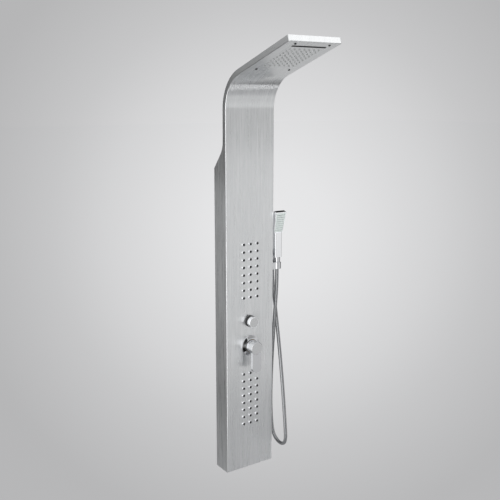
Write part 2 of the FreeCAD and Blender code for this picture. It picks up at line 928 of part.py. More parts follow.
def make_rain_mat():
    """The silicone mat under the water box; its nubs come out through the head's underside."""
    half = cell.box_width / 2
    sheet_part = block("mat_sheet", -half, half, cell.box_start, cell.box_end, MAT_TOP, -GAUGE)
    nubs = pins("mat_nubs", [(x, along, cell.rain_nub_radius) for x, along in rain_spots()],
                MAT_TOP, cell.rain_nub_height)
    bores = pins("mat_bores", [(x, along, cell.rain_bore_radius) for x, along in rain_spots()],
                 MAT_TOP - PAST, cell.rain_nub_height + PAST)
    holes = pins("mat_screw_holes", head_screw_circles(cell.head_screw_radius), MAT_TOP - PAST, 0)
    reach = cell.fall_lip + cell.fall_flange + cell.fall_gap
    window_x = cell.fall_slot_length / 2 + reach
    window_y = cell.fall_slot_width / 2 + reach
    window = block("mat_window", -window_x, window_x, cell.fall_centre - window_y,
                   cell.fall_centre + window_y, MAT_TOP - PAST, 0)
    for piece in (sheet_part, nubs, bores, holes, window):
        on_head(piece, 0, size(0))
    return cut("rain_nozzle_mat", fuse("mat_with_nubs", sheet_part, nubs), bores, holes, window)


def make_waterfall_nozzle():
    slot_x, slot_y = cell.fall_slot_length / 2, cell.fall_slot_width / 2
    lip = cell.fall_lip
    reach = lip + cell.fall_flange
    flange = block("fall_flange_plate", -slot_x - reach, slot_x + reach,
                   -slot_y - reach, slot_y + reach, MAT_TOP, -GAUGE)
    spout = block("fall_spout", -slot_x - lip, slot_x + lip, -slot_y - lip, slot_y + lip,
                  MAT_TOP, cell.fall_lip_height)
    slot = block("fall_slot", -slot_x, slot_x, -slot_y, slot_y, MAT_TOP - PAST, THROUGH)
    for piece in (flange, spout, slot):
        on_head(piece, 0, cell.fall_centre)
    return cut("waterfall_nozzle", fuse("fall_body", flange, spout), slot)


def spigot(name, x):
    """A boss and barb that point back from the water box, and the bore to drill through them."""
    boss, bore = cell.inner_hose_radius, cell.barb_bore
    top = cell.spigot_boss + cell.barb_length
    outside = turned(name, [
        (0, -PAST), (boss, -PAST), (boss, cell.spigot_boss), (cell.inner_hose_bore, cell.spigot_boss),
        (cell.inner_hose_bore, top), (0, top)])
    drill = turned(name + "_drill", [
        (0, -cell.spigot_bore_depth), (bore, -cell.spigot_bore_depth), (bore, top + PAST),
        (0, top + PAST)])
    for piece in (outside, drill):
        place(piece, x, *head_point(cell.box_start, SPIGOT_ABOVE),
              FreeCAD.Rotation(Vector(-1, 0, 0), number(90 + RISE)))
        bind(piece, "Placement.Rotation.Angle", 90 + RISE)
    return outside, drill


def make_water_box():
    """One moulding with a rain chamber and a waterfall chamber, open towards the mat."""
    half = cell.box_width / 2
    ceiling = MAT_TOP - cell.chamber_depth
    slab = block("box_slab", -half, half, cell.box_start, cell.box_end, BOX_TOP, MAT_TOP)
    rain = block("rain_chamber", -cell.chamber_width / 2, cell.chamber_width / 2,
                 cell.chamber_start, cell.chamber_end, ceiling, MAT_TOP + PAST)
    fall_half = cell.fall_slot_length / 2
    fall_reach = cell.fall_chamber_width / 2
    fall = block("fall_chamber", -fall_half, fall_half, cell.fall_centre - fall_reach,
                 cell.fall_centre + fall_reach, ceiling, MAT_TOP + PAST)
    channel_x = cell.chamber_width / 2 + cell.channel_wall
    channel = block("fall_channel", channel_x, channel_x + cell.channel_width,
                    cell.channel_start, cell.fall_centre + fall_reach, ceiling, MAT_TOP + PAST)
    crossing = block("fall_crossing", cell.gallery_across - cell.barb_bore,
                     channel_x + cell.channel_width, cell.channel_start,
                     cell.channel_start + cell.channel_width, ceiling, MAT_TOP + PAST)
    holes = pins("box_screw_holes", head_screw_circles(cell.head_screw_radius),
                 MAT_TOP - cell.head_screw_length, MAT_TOP + PAST)
    for piece in (slab, rain, fall, channel, crossing, holes):
        on_head(piece, 0, size(0))
    rain_spigot, rain_drill = spigot("rain_spigot", -cell.gallery_across)
    fall_spigot, fall_drill = spigot("fall_spigot", cell.gallery_across)
    rain_inlet = block("rain_inlet", -cell.gallery_across - cell.barb_bore,
                       -cell.gallery_across + cell.barb_bore, cell.channel_start,
                       cell.chamber_start + PAST, ceiling, MAT_TOP + PAST)
    on_head(rain_inlet, 0, size(0))
    boss_spots = [(side * cell.cover_screw_spread, 0, cell.cover_boss_radius) for side in (-1, 1)]
    screw_spots = [(side * cell.cover_screw_spread, 0, cell.cover_screw_radius) for side in (-1, 1)]
    under_cover = -GAUGE - cell.boss_relief
    bosses = pins("cover_bosses", boss_spots, -(cover_top_above() + BOX_TOP) - PAST,
                  under_cover)
    boss_holes = pins("cover_boss_holes", screw_spots, -cell.cover_screw_length, PAST)
    for piece in (bosses, boss_holes):
        on_head_top(piece, 0, cell.cover_screw_along, cover_top_above())
    return cut("water_box", fuse("box_with_spigots", slab, rain_spigot, fall_spigot, bosses),
               rain, fall, channel, crossing, rain_inlet, holes, rain_drill, fall_drill, boss_holes)


def make_head_screws():
    pieces = []
    for index, (x, along) in enumerate(head_screw_spots(), start=1):
        piece = screw(f"head_screw_{index}", cell.head_screw_radius, cell.head_screw_head,
                      cell.head_screw_head / 2, cell.head_screw_length)
        pieces.append(on_head(piece, x, along))
    return group("head_screws", *pieces)


# ---------------------------------------------------------------- body jets

def make_jets():
    """Chrome nozzles: a head outside the sheet and a stem that screws into the manifold."""
    stem, bore, tip = cell.jet_stem_radius, cell.jet_stem_bore, cell.jet_tip_radius
    edge = cell.jet_proud / 6
    source = turned("one_jet", [
        (bore, -cell.jet_stem_length), (stem, -cell.jet_stem_length), (stem, 0),
        (cell.jet_radius, 0), (cell.jet_radius, cell.jet_proud - edge),
        (cell.jet_radius - edge, cell.jet_proud), (tip, cell.jet_proud),
        (tip, -cell.jet_seat), (bore, -cell.jet_seat),
    ])
    on_front(source, 0, 0)
    return copies("jet_nozzles", source, jet_offsets())


def make_jet_tips():
    """The soft centre of each jet."""
    tip, bore = cell.jet_tip_radius, cell.jet_bore_radius
    top = cell.jet_proud + cell.jet_tip_proud
    source = turned("one_jet_tip", [
        (bore, -cell.jet_seat), (tip, -cell.jet_seat), (tip, cell.jet_proud),
        (tip - cell.jet_tip_proud, top), (bore, top),
    ])
    on_front(source, 0, 0)
    return copies("jet_tips", source, jet_offsets())


def jet_offsets():
    return [(x, 0, z) for x, z in jet_spots()]


def make_manifold(name, centre, feed_height, way):
    """A hollow box behind the sheet that feeds one field of jets; way is 1 for a barb that
    points up and -1 for one that points down."""
    half, tall = cell.manifold_width / 2, cell.manifold_height / 2
    wall, depth = cell.manifold_wall, cell.manifold_depth
    shell = block(name + "_shell", -half, half, -tall, tall, -GAUGE - depth, -GAUGE)
    inside = block(name + "_inside", wall - half, half - wall, wall - tall, tall - wall,
                   -GAUGE - depth + wall, -GAUGE - wall)
    holes = pins(name + "_holes", [(x, z, cell.jet_stem_radius) for x, z in field_spots()],
                 -GAUGE - wall - PAST, PAST)
    for piece in (shell, inside, holes):
        on_front(piece, 0, centre)
    back = FRONT + GAUGE + depth
    across, boss = -cell.manifold_feed_across, cell.boss_radius
    heel = boss / 2
    stub = rod(name + "_stub", boss, PAST + heel - cell.hose_plane - back, across, back - PAST,
               feed_height, ("Y", 1))
    elbow = rod(name + "_elbow", boss, heel + cell.elbow_boss, across, -cell.hose_plane,
                feed_height - way * heel, ("Z", way))
    barb = rod(name + "_barb", cell.inner_hose_bore, cell.elbow_boss + cell.barb_length, across,
               -cell.hose_plane, feed_height, ("Z", way))
    past = cell.barb_bore / 2
    inner_end = back - wall - PAST
    feed = rod(name + "_feed", cell.elbow_bore, past - cell.hose_plane - inner_end, across,
               inner_end, feed_height, ("Y", 1))
    drop = rod(name + "_drop", cell.barb_bore, cell.elbow_boss + cell.barb_length + PAST + past,
               across, -cell.hose_plane, feed_height - way * past, ("Z", way))
    return cut(name, fuse(name + "_solid", shell, stub, elbow, barb), inside, holes, feed, drop)


# ---------------------------------------------------------------- diverter

def hose_boss(name, x, low, high):
    """An upright outlet from low to high with a barb above it, and its bore."""
    boss = rod(name + "_boss", cell.boss_radius, high - low, x, -cell.hose_plane, low, ("Z", 1))
    barb = rod(name + "_barb", cell.inner_hose_bore, cell.barb_length, x, -cell.hose_plane, high,
               ("Z", 1))
    bore = rod(name + "_bore", cell.barb_bore, high - low + cell.barb_length + PAST, x,
               -cell.hose_plane, low, ("Z", 1))
    return [boss, barb], bore


def make_diverter_body():
    height, reach = DIVERTER_HEIGHT, cell.port_reach
    collar, cartridge = cell.diverter_collar, cell.cartridge_radius
    barrel = turned("diverter_barrel", [
        (0, -cell.diverter_back), (cell.diverter_barrel, -cell.diverter_back),
        (cell.diverter_barrel, -GAUGE), (collar, -GAUGE), (collar, cell.diverter_collar_length),
        (cartridge, cell.diverter_collar_length), (cartridge, -cell.cartridge_depth),
        (0, -cell.cartridge_depth),
    ])
    on_front(barrel, 0, height)
    plane = -cell.hose_plane
    hand = cell.hand_port_across
    gallery = rod("gallery", cell.port_radius, reach + hand, -reach, plane, height, ("X", 1))
    inlet = rod("diverter_inlet", cell.mixer_port_radius, reach, 0, plane, height, ("Z", -1))
    solids, bores = [barrel, gallery, inlet], []
    for name, x in (("rain_outlet", -cell.gallery_across), ("fall_outlet", cell.gallery_across),
                    ("hand_outlet", hand)):
        pieces, bore = hose_boss(name, x, height, height + reach)
        solids.extend(pieces)
        bores.append(bore)
    gap = cell.water_bore + cell.bore_web
    bores.append(rod("jet_bore", cell.water_bore, reach - gap + PAST, -gap, plane, height,
                     ("X", -1)))
    bores.append(rod("hand_bore", cell.barb_bore, hand - gap, gap, plane, height, ("X", 1)))
    bores.append(rod("inlet_bore", cell.water_bore, reach - gap + PAST, 0, plane, height - gap,
                     ("Z", -1)))
    bores.append(rod("cartridge_room", cartridge, cell.cartridge_depth + FAR, 0, FRONT - FAR,
                     height, ("Y", 1)))
    return cut("diverter_body", fuse("diverter_casting", *solids), *bores)


def make_panel_nut(name, inner, outer, thickness, height):
    return on_front(ring(name, inner, outer, 0, thickness), 0, height)


def make_rose(name, foot, rim, top, rise, bore, height):
    """A chrome cover ring: a straight rim at its foot, then a cone to its top, hollow inside."""
    wall = cell.rose_wall
    rose = turned(name, [
        (foot - wall, 0), (foot, 0), (foot, rim), (top, rise), (bore, rise),
        (bore, rise - wall), (top - wall, rise - wall), (foot - wall, rim - wall / 2),
    ])
    return on_front(rose, 0, height)


def make_diverter_cartridge():
    """The housing that screws into the body; the stem and its disc turn in it."""
    room = cell.cartridge_radius - cell.rose_wall
    stem_hole = cell.diverter_stem_radius + cell.run_gap
    depth = cell.cartridge_depth
    disc_top = -depth + cell.rose_wall + cell.disc_thickness + cell.run_gap
    neck, neck_top = cell.cartridge_neck, cell.cartridge_neck_top
    housing = turned("diverter_cartridge", [
        (0, -depth), (cell.cartridge_radius, -depth), (cell.cartridge_radius, cell.rose_wall),
        (neck, cell.rose_wall), (neck, neck_top), (stem_hole, neck_top), (stem_hole, disc_top),
        (room, disc_top), (room, -depth + cell.rose_wall), (0, -depth + cell.rose_wall),
    ])
    return on_front(housing, 0, DIVERTER_HEIGHT)


def make_diverter_stem():
    low = -cell.cartridge_depth + cell.rose_wall
    disc = cell.cartridge_radius - cell.rose_wall - cell.run_gap
    stem, top = cell.diverter_stem_radius, cell.diverter_knob_top - cell.knob_front
    hole = cell.knob_screw_radius
    screw_end = top - cell.knob_screw_length + cell.knob_front / 2
    shaft = turned("diverter_stem", [
        (0, low), (disc, low), (disc, low + cell.disc_thickness), (stem, low + cell.disc_thickness),
        (stem, top), (hole, top), (hole, screw_end), (0, screw_end),
    ])
    return on_front(shaft, 0, DIVERTER_HEIGHT)


def make_diverter_knob():
    outer, wall = cell.diverter_knob_radius, cell.knob_wall
    low, top = cell.diverter_knob_start, cell.diverter_knob_top
    edge, cap = cell.edge_break, cell.knob_cap_radius
    face = top - cell.cap_thickness
    under = top - cell.knob_front
    stem = cell.diverter_stem_radius
    hub, hub_low = cell.knob_hub_radius, cell.knob_hub_start
    head = cell.knob_screw_head
    seat = under + cell.knob_front / 2
    knob = turned("diverter_knob", [
        (outer - wall, low), (outer, low), (outer, top - edge), (outer - edge, top), (cap, top),
        (cap, face), (head, face), (head, seat), (cell.knob_screw_radius, seat),
        (cell.knob_screw_radius, under), (stem, under), (stem, hub_low), (hub, hub_low),
        (hub, under), (outer - wall, under),
    ])
    return on_front(knob, 0, DIVERTER_HEIGHT)


def make_cap(name, radius, top, height):
    edge = cell.cap_thickness / 4
    cap = turned(name, [
        (0, top - cell.cap_thickness), (radius, top - cell.cap_thickness), (radius, top - edge),
        (radius - edge, top), (0, top),
    ])
    return on_front(cap, 0, height)


def make_axial_screw(name, radius, head_radius, seat, head_height, length, height):
    """A screw that holds a knob to its stem, its head on a seat under the cap."""
    piece = turned(name, [
        (0, seat - length), (radius, seat - length), (radius, seat), (head_radius, seat),
        (head_radius, seat + head_height), (0, seat + head_height),
    ])
    return on_front(piece, 0, height)


def make_jet_tee():
    height, plane = DIVERTER_HEIGHT, -cell.hose_plane
    across, reach, boss = cell.tee_across, cell.port_reach, cell.elbow_boss
    arm = rod("tee_arm", cell.port_radius, across - reach, -reach, plane, height, ("X", -1))
    trunk = rod("tee_trunk", cell.port_radius, 2 * boss, -across, plane, height - boss, ("Z", 1))
    barbs = rod("tee_barbs", cell.inner_hose_bore, 2 * (boss + cell.barb_length), -across, plane,
                height - boss - cell.barb_length, ("Z", 1))
    arm_bore = rod("tee_arm_bore", cell.water_bore, across - reach + PAST, PAST - reach, plane,
                   height, ("X", -1))
    trunk_bore = rod("tee_trunk_bore", cell.barb_bore, 2 * (boss + cell.barb_length + PAST),
                     -across, plane, height - boss - cell.barb_length - PAST, ("Z", 1))
    return cut("jet_tee", fuse("tee_solid", arm, trunk, barbs), arm_bore, trunk_bore)


# ---------------------------------------------------------------- mixer

def valve_passages(name, low, high):
    """The three ways between the mixer's body and its cartridge: mixed, hot and cold."""
    across, drop, radius = cell.passage_spread, cell.passage_drop, cell.passage_radius
    spots = [(0, across, radius), (-across, -drop, radius), (across, -drop, radius)]
    return on_front(pins(name, spots, low, high), 0, cell.mixer_height)


def make_mixer_body():
    height, plane = cell.mixer_height, -cell.hose_plane
    collar, valve = cell.mixer_collar, cell.valve_radius
    barrel = turned("mixer_barrel", [
        (0, -cell.mixer_back), (cell.mixer_barrel, -cell.mixer_back), (cell.mixer_barrel, -GAUGE),
        (collar, -GAUGE), (collar, cell.mixer_collar_length), (valve, cell.mixer_collar_length),
        (valve, -cell.valve_depth), (0, -cell.valve_depth),
    ])
    on_front(barrel, 0, height)
    across, port = cell.inlet_across, cell.mixer_port_radius
    arms = rod("inlet_arms", port, 2 * across, -across, plane, height, ("X", 1))
    outlet = rod("mixer_outlet", port, cell.mixer_port_reach, 0, plane, height, ("Z", 1))
    water = cell.water_bore
    gap = water + cell.bore_web
    solids = [barrel, arms, outlet]
    bores = [
        rod("mixer_outlet_bore", water, cell.mixer_port_reach - gap + PAST, 0, plane,
            height + gap, ("Z", 1)),
        rod("valve_room", valve, cell.valve_depth + FAR, 0, FRONT - FAR, height, ("Y", 1)),
    ]
    for side, word in ((-1, "hot"), (1, "cold")):
        x = side * across
        boss = cell.inlet_boss_radius
        solids.append(rod(f"{word}_boss", boss, cell.inlet_boss_drop + boss, x, plane, height + boss,
                          ("Z", -1)))
        bores.append(rod(f"{word}_seat", cell.nipple_tenon, cell.inlet_boss_drop + PAST + gap, x, plane,
                         height + gap, ("Z", -1)))
        bores.append(rod(f"{word}_arm_bore", water, across - gap, side * gap, plane, height,
                         ("X", side)))
    passages = valve_passages("valve_passages", cell.hose_plane - cell.panel_depth,
                              PAST - cell.valve_depth)
    return cut("mixer_body", fuse("mixer_casting", *solids), passages, *bores)


def make_inlet_nipples():
    pieces = []
    low = cell.mixer_height - cell.inlet_boss_drop
    for side, word in ((-1, "hot"), (1, "cold")):
        nipple = turned(f"{word}_nipple", [
            (cell.inlet_bore, -cell.nipple_length), (cell.inlet_radius, -cell.nipple_length),
            (cell.inlet_radius, 0), (cell.nipple_tenon, 0), (cell.nipple_tenon, cell.nipple_tenon),
            (cell.inlet_bore, cell.nipple_tenon),
        ])
        pieces.append(place(nipple, side * cell.inlet_across, -cell.hose_plane, low))
    return group("inlet_nipples", *pieces)


def make_nipple_inserts(name, bore, start, length):
    """A round insert in each inlet nipple, so far above the nipple's open end."""
    pieces = []
    low = cell.mixer_height - cell.inlet_boss_drop - cell.nipple_length + start
    for side, word in ((-1, "hot"), (1, "cold")):
        insert = ring(f"{name}_{word}", bore, cell.inlet_bore, 0, length)
        pieces.append(place(insert, side * cell.inlet_across, -cell.hose_plane, low))
    return group(name, *pieces)


def make_union_tube():
    low = cell.mixer_height + cell.mixer_port_reach
    high = DIVERTER_HEIGHT - cell.port_reach
    overlap = cell.union_overlap
    tube = ring("union_tube", cell.water_bore - cell.union_wall, cell.water_bore,
                -overlap, high - low + overlap)
    return place(tube, 0, -cell.hose_plane, low)


def hexagon(radius):
    corners = []
    for step in range(6):
        angle = math.radians(60 * step)
        corners.append((radius * math.cos(angle), radius * math.sin(angle)))
    return corners


def make_hex_nut(name, radius, bore, thickness):
    solid = plate(name + "_blank", hexagon(radius), 0, thickness)
    hole = pins(name + "_hole", [(0, 0, bore)], -PAST, thickness + PAST)
    return solid, hole


def make_union_nut():
    low = cell.mixer_height + cell.mixer_port_reach
    high = DIVERTER_HEIGHT - cell.port_reach
    solid, hole = make_hex_nut("union_nut", cell.union_flats_radius, cell.water_bore, high - low)
    for piece in (solid, hole):
        place(piece, 0, -cell.hose_plane, low)
    return cut("union_nut", solid, hole)


def make_valve_housing():
    neck, top = cell.valve_neck, cell.valve_neck_top
    bore = cell.sleeve_radius + cell.run_gap
    depth, shoulder = cell.valve_depth, cell.valve_shoulder
    floor = -depth + cell.disc_thickness
    roof = sleeve_flange_top() + shoulder
    housing = turned("valve_shell", [
        (0, -depth), (cell.valve_radius, -depth), (cell.valve_radius, -shoulder),
        (neck, -shoulder), (neck, top), (bore, top), (bore, roof), (cell.valve_cavity, roof),
        (cell.valve_cavity, floor), (0, floor),
    ])
    on_front(housing, 0, cell.mixer_height)
    ports = valve_passages("valve_ports", -depth - PAST, floor + PAST)
    return cut("cartridge_housing", housing, ports)


def fixed_disc_top():
    return -cell.valve_depth + 2 * cell.disc_thickness


def moving_disc_top():
    return fixed_disc_top() + cell.disc_thickness


def sleeve_flange_top():
    return moving_disc_top() + cell.disc_thickness


def make_disc(name, low, radius):
    return on_front(ring(name, cell.disc_bore, radius, low, low + cell.disc_thickness),
                    0, cell.mixer_height)


def make_turning_sleeve():
    """The sleeve that turns in the cartridge neck and carries the lever's pin."""
    radius, flange = cell.sleeve_radius, moving_disc_top()
    top = cell.valve_neck_top - cell.valve_shoulder
    body = turned("sleeve_blank", [
        (0, flange), (cell.valve_neck, flange), (cell.valve_neck, sleeve_flange_top()),
        (radius, sleeve_flange_top()), (radius, top), (0, top),
    ])
    half = cell.stem_width / 2 + cell.run_gap
    slot = block("sleeve_slot", -half, half, -radius - PAST, radius + PAST,
                 cell.stem_start - 2 * cell.disc_thickness, top + PAST)
    hole = rod("sleeve_pin_hole", cell.pivot_pin_radius, 2 * (radius + PAST), -radius - PAST,
               FRONT - cell.pivot_out, cell.mixer_height, ("X", 1))
    for piece in (body, slot):
        on_front(piece, 0, cell.mixer_height)
    return cut("turning_sleeve", body, slot, hole)


def make_pivot_pin():
    half = cell.sleeve_radius - cell.run_gap
    return rod("pivot_pin", cell.pivot_pin_radius, 2 * half, -half, FRONT - cell.pivot_out,
               cell.mixer_height, ("X", 1))


def make_stem():
    half = cell.stem_width / 2
    bar = block("stem_bar", -half, half, -half, half, cell.stem_start, cell.stem_top)
    pin_hole = rod("stem_pin_hole", cell.pivot_pin_radius + cell.pin_gap, 2 * (half + PAST),
                   -half - PAST, FRONT - cell.pivot_out, cell.mixer_height, ("X", 1))
    screw_end = handle_screw_seat() - cell.handle_screw_length
    screw_hole = pins("stem_screw_hole", [(0, 0, cell.handle_screw_radius)], screw_end,
                      cell.stem_top + PAST)
    for piece in (bar, screw_hole):
        on_front(piece, 0, cell.mixer_height)
    return cut("lever_stem", bar, pin_hole, screw_hole)


def handle_screw_seat():
    return cell.handle_top - cell.cap_thickness - cell.handle_front


def make_handle():
    """A hollow chrome drum with a flat lever that hangs from it."""
    outer, wall = cell.handle_radius, cell.handle_wall
    low, top, edge = cell.handle_start, cell.handle_top, cell.edge_break
    face, under = top - cell.cap_thickness, top - cell.handle_front
    hub, hub_low = cell.handle_hub_radius, cell.handle_hub_start
    drum = turned("handle_drum", [
        (outer - wall, low), (outer, low), (outer, top - edge), (outer - edge, top),
        (cell.cap_radius, top), (cell.cap_radius, face), (0, face), (0, hub_low), (hub, hub_low),
        (hub, under), (outer - wall, under),
    ])
    half = cell.lever_width / 2
    low_end = half - cell.lever_reach
    back = face - cell.lever_thickness
    bar = block("lever_bar", -half, half, low_end, 0, back, face)
    end = pins("lever_end", [(0, low_end, half)], back, face)
    room = pins("lever_room", [(0, 0, outer - wall)], low, under)
    socket_half = cell.stem_width / 2
    socket = block("stem_socket", -socket_half, socket_half, -socket_half, socket_half,
                   hub_low - PAST, cell.stem_top)
    seat = handle_screw_seat()
    screw_hole = pins("handle_screw_hole", [(0, 0, cell.handle_screw_radius)],
                      cell.stem_top - PAST, face + PAST)
    counterbore = pins("handle_counterbore", [(0, 0, cell.handle_screw_head)], seat, face + PAST)
    for piece in (drum, bar, end, room, socket, screw_hole, counterbore):
        on_front(piece, 0, cell.mixer_height)
    lever = cut("lever_part", fuse("lever_solid", bar, end), room)
    return cut("mixer_handle", fuse("handle_solid", drum, lever), socket, screw_hole, counterbore)


# ---------------------------------------------------------------- side outlet and holder

def make_outlet_elbow():
    y, z = -cell.outlet_depth, OUTLET_HEIGHT
    radius, bore = cell.outlet_radius, cell.outlet_bore
    start = HALF_WIDTH - cell.outlet_shank
    reach = cell.outlet_reach + cell.outlet_shank
    corner = HALF_WIDTH + cell.outlet_reach
    heel, past = radius / 2, bore / 2
    shank = rod("outlet_shank_part", radius, reach + heel, start, y, z, ("X", 1))
    drop = rod("outlet_drop", radius, heel + cell.outlet_thread_drop, corner, y, z + heel,
               ("Z", -1))
    bore_in = rod("outlet_bore_in", cell.elbow_bore, reach + PAST + past, start - PAST, y, z,
                  ("X", 1))
    bore_down = rod("outlet_bore_down", bore, cell.outlet_thread_drop + PAST + past, corner, y,
                    z + past, ("Z", -1))
    return cut("outlet_elbow", fuse("elbow_solid", shank, drop), bore_in, bore_down)


def make_outlet_nut():
    solid, hole = make_hex_nut("outlet_nut", cell.outlet_nut_radius, cell.outlet_radius,
                               cell.outlet_nut_thickness)
    for piece in (solid, hole):
        place(piece, HALF_WIDTH - GAUGE - cell.outlet_nut_thickness, -cell.outlet_depth,
              OUTLET_HEIGHT, SIDE_TURN)
    return cut("outlet_nut", solid, hole)


def make_outlet_tail():
    """The barbed elbow on the inner end of the outlet's shank."""
    y, z = -cell.outlet_depth, OUTLET_HEIGHT
    end = HALF_WIDTH - cell.outlet_shank
    across, boss = cell.outlet_tail_across, cell.boss_radius
    heel, past = boss / 2, cell.barb_bore / 2
    arm = rod("tail_arm", boss, end - across + heel, across - heel, y, z, ("X", 1))
    elbow = rod("tail_elbow", boss, heel + cell.elbow_boss, across, y, z + heel, ("Z", -1))
    barb = rod("tail_barb", cell.inner_hose_bore, cell.elbow_boss + cell.barb_length, across, y, z,
               ("Z", -1))
    arm_bore = rod("tail_arm_bore", cell.elbow_bore, end - across + past + PAST, across - past,
                   y, z, ("X", 1))
    barb_bore = rod("tail_barb_bore", cell.barb_bore,
                    cell.elbow_boss + cell.barb_length + PAST + past, across, y, z + past,
                    ("Z", -1))
    return cut("outlet_tail", fuse("tail_solid", arm, elbow, barb), arm_bore, barb_bore)


def thread_end():
    return OUTLET_HEIGHT - cell.outlet_thread_drop


def hose_nut_bottom():
    return thread_end() + cell.hose_nut_overlap - cell.hose_nut_length


def make_hose_nut():
    bottom = hose_nut_bottom()
    seat = thread_end() - cell.washer_thickness - bottom
    top = cell.hose_nut_length
    nut = turned("hose_nut", [
        (cell.outlet_bore, 0), (cell.hose_nut_radius, 0), (cell.hose_nut_radius, top),
        (cell.outlet_radius, top), (cell.outlet_radius, seat), (cell.outlet_bore, seat),
    ])
    return place(nut, HALF_WIDTH + cell.outlet_reach, -cell.outlet_depth, bottom)


def make_hose_washers():
    under = ring("outlet_washer", cell.outlet_bore, cell.outlet_radius, 0, cell.washer_thickness)
    place(under, HALF_WIDTH + cell.outlet_reach, -cell.outlet_depth,
          thread_end() - cell.washer_thickness)
    return under


def cone_bottom():
    return cell.holder_bottom - cell.cone_below_holder


def cone_radius(height):
    """The cone's radius so far above its lower end."""
    taper = cell.cone_upper_radius - cell.cone_lower_radius
    return cell.cone_lower_radius + taper * height / cell.cone_length


def make_holder():
    """A cup with a conical seat and a slot for the hose, on a foot against the flange."""
    reach, half_arm = cell.holder_reach, cell.holder_arm_width / 2
    height, cup = cell.holder_height, cell.cup_radius
    centre = (HALF_WIDTH + reach, -cell.holder_depth, cell.holder_bottom)
    foot = block("holder_foot", -reach, 0, -half_arm, half_arm, 0, height)
    edge = cell.edge_break
    below = cell.cone_below_holder
    shell = turned("holder_cup", [
        (0, 0), (cup - edge, 0), (cup, edge), (cup, height - edge), (cup - edge, height), (0, height)])
    seat = turned("holder_seat", [
        (0, -below), (cell.cone_lower_radius + cell.seat_gap, -below),
        (cone_radius(height + 2 * below) + cell.seat_gap, height + below), (0, height + below)])
    half_slot = cell.cup_slot / 2
    slot = block("holder_slot", 0, cup + PAST, -half_slot, half_slot, -PAST, height + PAST)
    holes = pins("holder_screw_holes", [
        (-cell.holder_depth, z, cell.holder_screw_radius) for z in holder_screw_heights()],
        -PAST, cell.holder_screw_length - GAUGE)
    for piece in (foot, shell, seat, slot):
        place(piece, *centre)
    on_side(holes, 0, 0)
    return cut("hand_shower_holder", fuse("holder_solid", foot, shell), seat, slot, holes)


def make_holder_screws():
    pieces = []
    inward = FreeCAD.Rotation(Vector(0, 0, 1), Vector(-1, 0, 0))
    for index, z in enumerate(holder_screw_heights(), start=1):
        piece = screw(f"holder_screw_{index}", cell.holder_screw_radius, cell.cover_screw_head,
                      cell.cover_screw_head / 2, cell.holder_screw_length)
        pieces.append(place(piece, HALF_WIDTH - GAUGE, -cell.holder_depth, z, inward))
    return group("holder_screws", *pieces)


# ---------------------------------------------------------------- hand shower

def hand_centre():
    return HALF_WIDTH + cell.holder_reach, -cell.holder_depth


def grip_bottom():
    return cone_bottom() + cell.cone_length


def make_hose_cone():
    bore, thread = cell.outlet_bore, cell.hand_thread_radius
    seat = cell.cone_length - cell.hand_thread_length - cell.washer_thickness
    top = cell.cone_length
    cone = turned("hose_cone", [
        (bore, 0), (cell.cone_lower_radius, 0), (cell.cone_upper_radius, top), (thread, top),
        (thread, seat), (bore, seat),
    ])
    return place(cone, *hand_centre(), cone_bottom())


def make_cone_washer():
    washer = ring("cone_washer", cell.outlet_bore, cell.hand_thread_radius, 0, cell.washer_thickness)
    return place(washer, *hand_centre(), grip_bottom() - cell.hand_thread_length - cell.washer_thickness)


def on_spray_head(thing):
    """The thing's own Z axis points out of the spray face, its Y axis up the head."""
    x, y = hand_centre()
    front = y - cell.grip_thickness / 2 + cell.spray_head_step
    place(thing, x, front, grip_bottom() + cell.grip_length, FRONT_TURN)
    bind(thing, "Placement.Rotation.Angle", 90 + cell.spray_head_tilt)
    return thing


def spray_outline(margin):
    """The head's outline, wider at its top, with an even margin on every side."""
    low, high = cell.spray_head_bottom / 2 - margin, cell.spray_head_top / 2 - margin
    length = cell.spray_head_length
    return [(-low, margin), (low, margin), (high, length - margin), (-high, length - margin)]


def spray_nozzle_spots():
    rows = spread(int(cell.spray_rows.number), cell.spray_row_pitch)
    columns = spread(int(cell.spray_nozzles_per_row.number), cell.spray_nozzle_pitch)
    return [(x, cell.spray_head_length / 2 + row) for row in rows for x in columns]


def make_hand_shower():
    x, y = hand_centre()
    half, deep = cell.grip_width / 2, cell.grip_thickness / 2
    grip = block("grip", -half, half, -deep, deep, 0, cell.grip_length)
    corner_x, corner_y = number(half), number(deep)

    def is_long_edge(points):
        return (abs(points[0].z - points[-1].z) > 1
                and all(abs(abs(point.x) - corner_x) < 0.01 for point in points)
                and all(abs(abs(point.y) - corner_y) < 0.01 for point in points))

    round_edges(grip, grip.Tip, cell.grip_edge, is_long_edge, "grip_rounds")
    thread = pins("hand_thread", [(0, 0, cell.hand_thread_radius)], -cell.hand_thread_length, PAST)
    neck_half = cell.neck_width / 2
    neck_front = cell.spray_head_step + cell.spray_head_step - deep
    neck = block("grip_neck", -neck_half, neck_half, neck_front, neck_front + cell.neck_depth,
                 cell.grip_length - PAST, cell.grip_length + cell.neck_overlap)
    for piece in (grip, thread, neck):
        place(piece, x, y, grip_bottom())
    head = plate("spray_head", spray_outline(0), -cell.spray_head_thickness, 0)

    def is_side_edge(points):
        return abs(points[0].z - points[-1].z) > 1

    round_edges(head, head.Tip, cell.spray_head_edge, is_side_edge, "spray_head_rounds")
    pocket = plate("face_pocket", spray_outline(cell.face_margin), -cell.face_recess, PAST)
    water = pins("hand_water", [(0, 0, cell.outlet_bore)], -cell.hand_thread_length - PAST,
                 cell.grip_length - cell.grip_thickness)
    for piece in (head, pocket):
        on_spray_head(piece)
    place(water, x, y, grip_bottom())
    return cut("hand_shower_body", fuse("hand_solid", grip, thread, neck, head), pocket, water)


